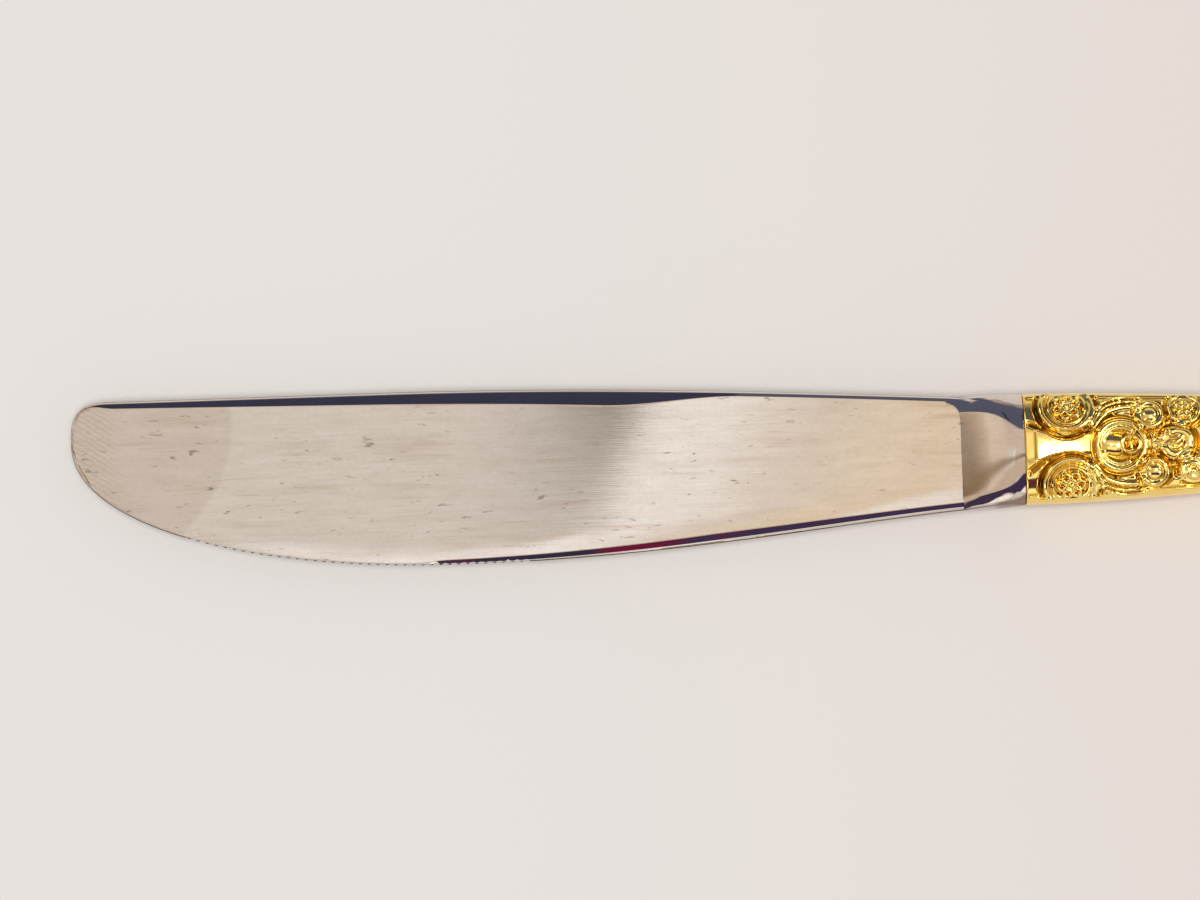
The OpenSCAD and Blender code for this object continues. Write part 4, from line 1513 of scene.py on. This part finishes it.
def overhead_lamp(view):
    """A soft lamp above, behind the camera, which with the sky lights a colour as it is written."""
    lamp = bpy.data.lights.new("overhead", "SUN")
    lamp.energy = float(np.pi * (1 - SKY_SHARE))
    lamp.angle = LAMP_ANGLE * DEGREE
    shown = show("overhead", lamp)
    shown.rotation_euler = (view.tilt, 0.0, 0.0)
    shown.visible_glossy = False


def window_lamps(shells):
    """Bright round windows, which only the gold of the handle mirrors."""
    gold = bpy.data.collections.new("gold_shells")
    for shell in shells:
        gold.objects.link(shell)
    for number, (slope_x, slope_y, half_angle, light) in enumerate(WINDOWS):
        aim = Vector((slope_x, slope_y, 1.0)).normalized()
        radius = WINDOW_REACH * float(np.tan(np.radians(half_angle)))
        lamp = bpy.data.lights.new(f"window_{number}", "AREA")
        lamp.shape = "DISK"
        lamp.size = 2 * radius
        lamp.energy = light * float(np.pi * np.pi * radius ** 2)
        lamp.color = WINDOW_LIGHT
        shown = show(f"window_{number}", lamp)
        shown.location = Vector(MOUTH) + aim * WINDOW_REACH
        shown.rotation_euler = aim.to_track_quat("Z", "Y").to_euler()
        shown.visible_camera = False
        shown.light_linking.receiver_collection = gold


def aim_camera(view):
    """The camera of the photograph: nearly overhead, with the knife turned a little."""
    k = in_mm(view)
    target = Vector(MOUTH) + Vector((k.middle_x, k.middle_y, 0.0)) * MM
    back = Vector((0.0, -np.sin(view.tilt), np.cos(view.tilt)))
    right = Vector((1.0, 0.0, 0.0))
    up = back.cross(right)
    turned_right = np.cos(view.roll) * right - np.sin(view.roll) * up
    turned_up = np.sin(view.roll) * right + np.cos(view.roll) * up
    lens = bpy.data.cameras.new("camera")
    lens.sensor_width = SENSOR_W
    lens.lens = SENSOR_W * k.distance / k.span
    lens.clip_start = CLIP_START
    camera = show("camera", lens)
    spin = Matrix((turned_right, turned_up, back)).transposed().to_4x4()
    camera.matrix_world = Matrix.Translation(target + back * k.distance * MM) @ spin
    bpy.context.scene.camera = camera


# Operators

BLADE_SHARP = 35
SHELL_SHARP = 80


class KNIFE_OT_blade(Operator):
    """Make the blade with its bolster, its toothed edge and its tang"""

    bl_idname = "knife.blade"
    bl_label = "Blade"

    def execute(self, context):
        scene = context.scene
        k = in_mm(scene.knife_blade)
        handle = in_mm(scene.knife_handle)
        k.mouth_w, k.mouth_t = handle.mouth_w, handle.mouth_t
        points, faces, attributes = blade_body(k)
        faces = outward(points, faces)
        tang_points, tang_faces = tang_body(k)
        tang_faces = outward(tang_points, tang_faces)
        start = len(points)
        faces += [[start + i for i in face] for face in tang_faces]
        points = np.concatenate([points, tang_points])
        rest = len(tang_points)
        for key, values in attributes.items():
            filler = np.zeros((rest,) + values.shape[1:]) + (1.0 if key == "from_edge" else 0.0)
            attributes[key] = np.concatenate([values, filler])
        piece = show("blade_satin", solid_mesh("blade_satin", points, faces, attributes))
        give_nodes(piece, serrate_tree(), {
            "Start": k.serration_from * MM, "Length": k.serration_l * MM, "Pitch": k.tooth_pitch * MM,
            "Width": k.tooth_w * MM, "Depth": k.tooth_d * MM, "Material": steel_material(scene.knife_finish)})
        make_plain(piece, BLADE_SHARP, ("satin", "face", "stain", "outline"))
        stands_for(piece, "blade")
        return {"FINISHED"}


class KNIFE_OT_shells(Operator):
    """Make the two pressed shells of the handle with their raised ornament"""

    bl_idname = "knife.shells"
    bl_label = "Handle shells"

    def execute(self, context):
        scene = context.scene
        k = in_mm(scene.knife_handle)
        k.repeats = scene.knife_handle.repeats
        points, faces, attributes, lane = shell_body(k)
        faces = outward(points, faces)
        front = show("shell_front", solid_mesh("shell_front", points, faces, attributes))
        art, border = handle_ornament(k, lane)
        relief, paths = raise_tree(), []
        for number, (form, lines) in enumerate(art.families.items()):
            half_width, height, fullness = form
            paths.append(path_object(f"ornament_lines_{number}", lines))
            give_nodes(front, relief, {
                "Lines": paths[-1], "Half width": half_width * MM, "Height": height * MM,
                "Fullness": fullness, "Border": (border + BORDER_REACH) * MM})
        give_nodes(front, lift_tree(), {"Material": gold_material(scene.knife_finish)})
        make_plain(front, SHELL_SHARP, ("relief", "facing"))
        for path in paths:
            bpy.data.meshes.remove(path.data)
        mesh = front.data.copy()
        mesh.name = "shell_back"
        middle = Matrix.Translation((0, 0, MOUTH[2]))
        mesh.transform(middle @ Matrix.Scale(-1, 4, (0, 0, 1)) @ middle.inverted())
        mesh.flip_normals()
        back = show("shell_back", mesh)
        stands_for(front, "handle_front_shell")
        stands_for(back, "handle_back_shell")
        return {"FINISHED"}


class KNIFE_OT_inside(Operator):
    """Finish the solder of the seam and the cement inside the handle"""

    bl_idname = "knife.inside"
    bl_label = "Solder and cement"

    def execute(self, context):
        finish = context.scene.knife_finish
        for node, material in (("handle_seam_solder", solder_material(finish)),
                               ("handle_cement_core", cement_material(finish))):
            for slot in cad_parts[node].material_slots:
                slot.material = material
        return {"FINISHED"}


class KNIFE_OT_stage(Operator):
    """Make the floor, the light and the camera"""

    bl_idname = "knife.stage"
    bl_label = "Stage"

    def execute(self, context):
        scene = context.scene
        reach = FLOOR_REACH
        mesh = bpy.data.meshes.new("floor")
        mesh.from_pydata([(-reach, -reach, 0), (reach, -reach, 0), (reach, reach, 0), (-reach, reach, 0)],
                         [], [(0, 1, 2, 3)])
        mesh.materials.append(floor_material(scene.knife_finish))
        show("floor", mesh)
        scene.world = studio_world()
        overhead_lamp(scene.knife_view)
        window_lamps([bpy.data.objects["shell_front"], bpy.data.objects["shell_back"]])
        scene.view_settings.view_transform = "Standard"
        aim_camera(scene.knife_view)
        return {"FINISHED"}


class KNIFE_PT_panel(Panel):
    """Sizes, colours and steps of the table knife"""

    bl_idname = "KNIFE_PT_panel"
    bl_label = "Table knife"
    bl_space_type = "VIEW_3D"
    bl_region_type = "UI"
    bl_category = "Knife"

    def draw(self, context):
        for operator in OPERATORS:
            self.layout.operator(operator.bl_idname)
        for key, group in GROUPS.items():
            box = self.layout.box()
            box.label(text=group.__doc__)
            for name in group.__annotations__:
                box.prop(getattr(context.scene, key), name)


OPERATORS = (KNIFE_OT_blade, KNIFE_OT_shells, KNIFE_OT_inside, KNIFE_OT_stage)
GROUPS = {
    "knife_blade": KnifeBladeSizes,
    "knife_handle": KnifeHandleSizes,
    "knife_finish": KnifeFinish,
    "knife_view": KnifeView,
}


def register():
    for group in GROUPS.values():
        bpy.utils.register_class(group)
    for key, group in GROUPS.items():
        setattr(bpy.types.Scene, key, PointerProperty(type=group))
    for operator in OPERATORS:
        bpy.utils.register_class(operator)
    bpy.utils.register_class(KNIFE_PT_panel)


def unregister():
    bpy.utils.unregister_class(KNIFE_PT_panel)
    for operator in reversed(OPERATORS):
        bpy.utils.unregister_class(operator)
    for key in GROUPS:
        delattr(bpy.types.Scene, key)
    for group in reversed(list(GROUPS.values())):
        bpy.utils.unregister_class(group)


def main():
    register()
    bpy.ops.knife.blade()
    bpy.ops.knife.shells()
    bpy.ops.knife.inside()
    bpy.ops.knife.stage()


if __name__ == "__main__":
    main()
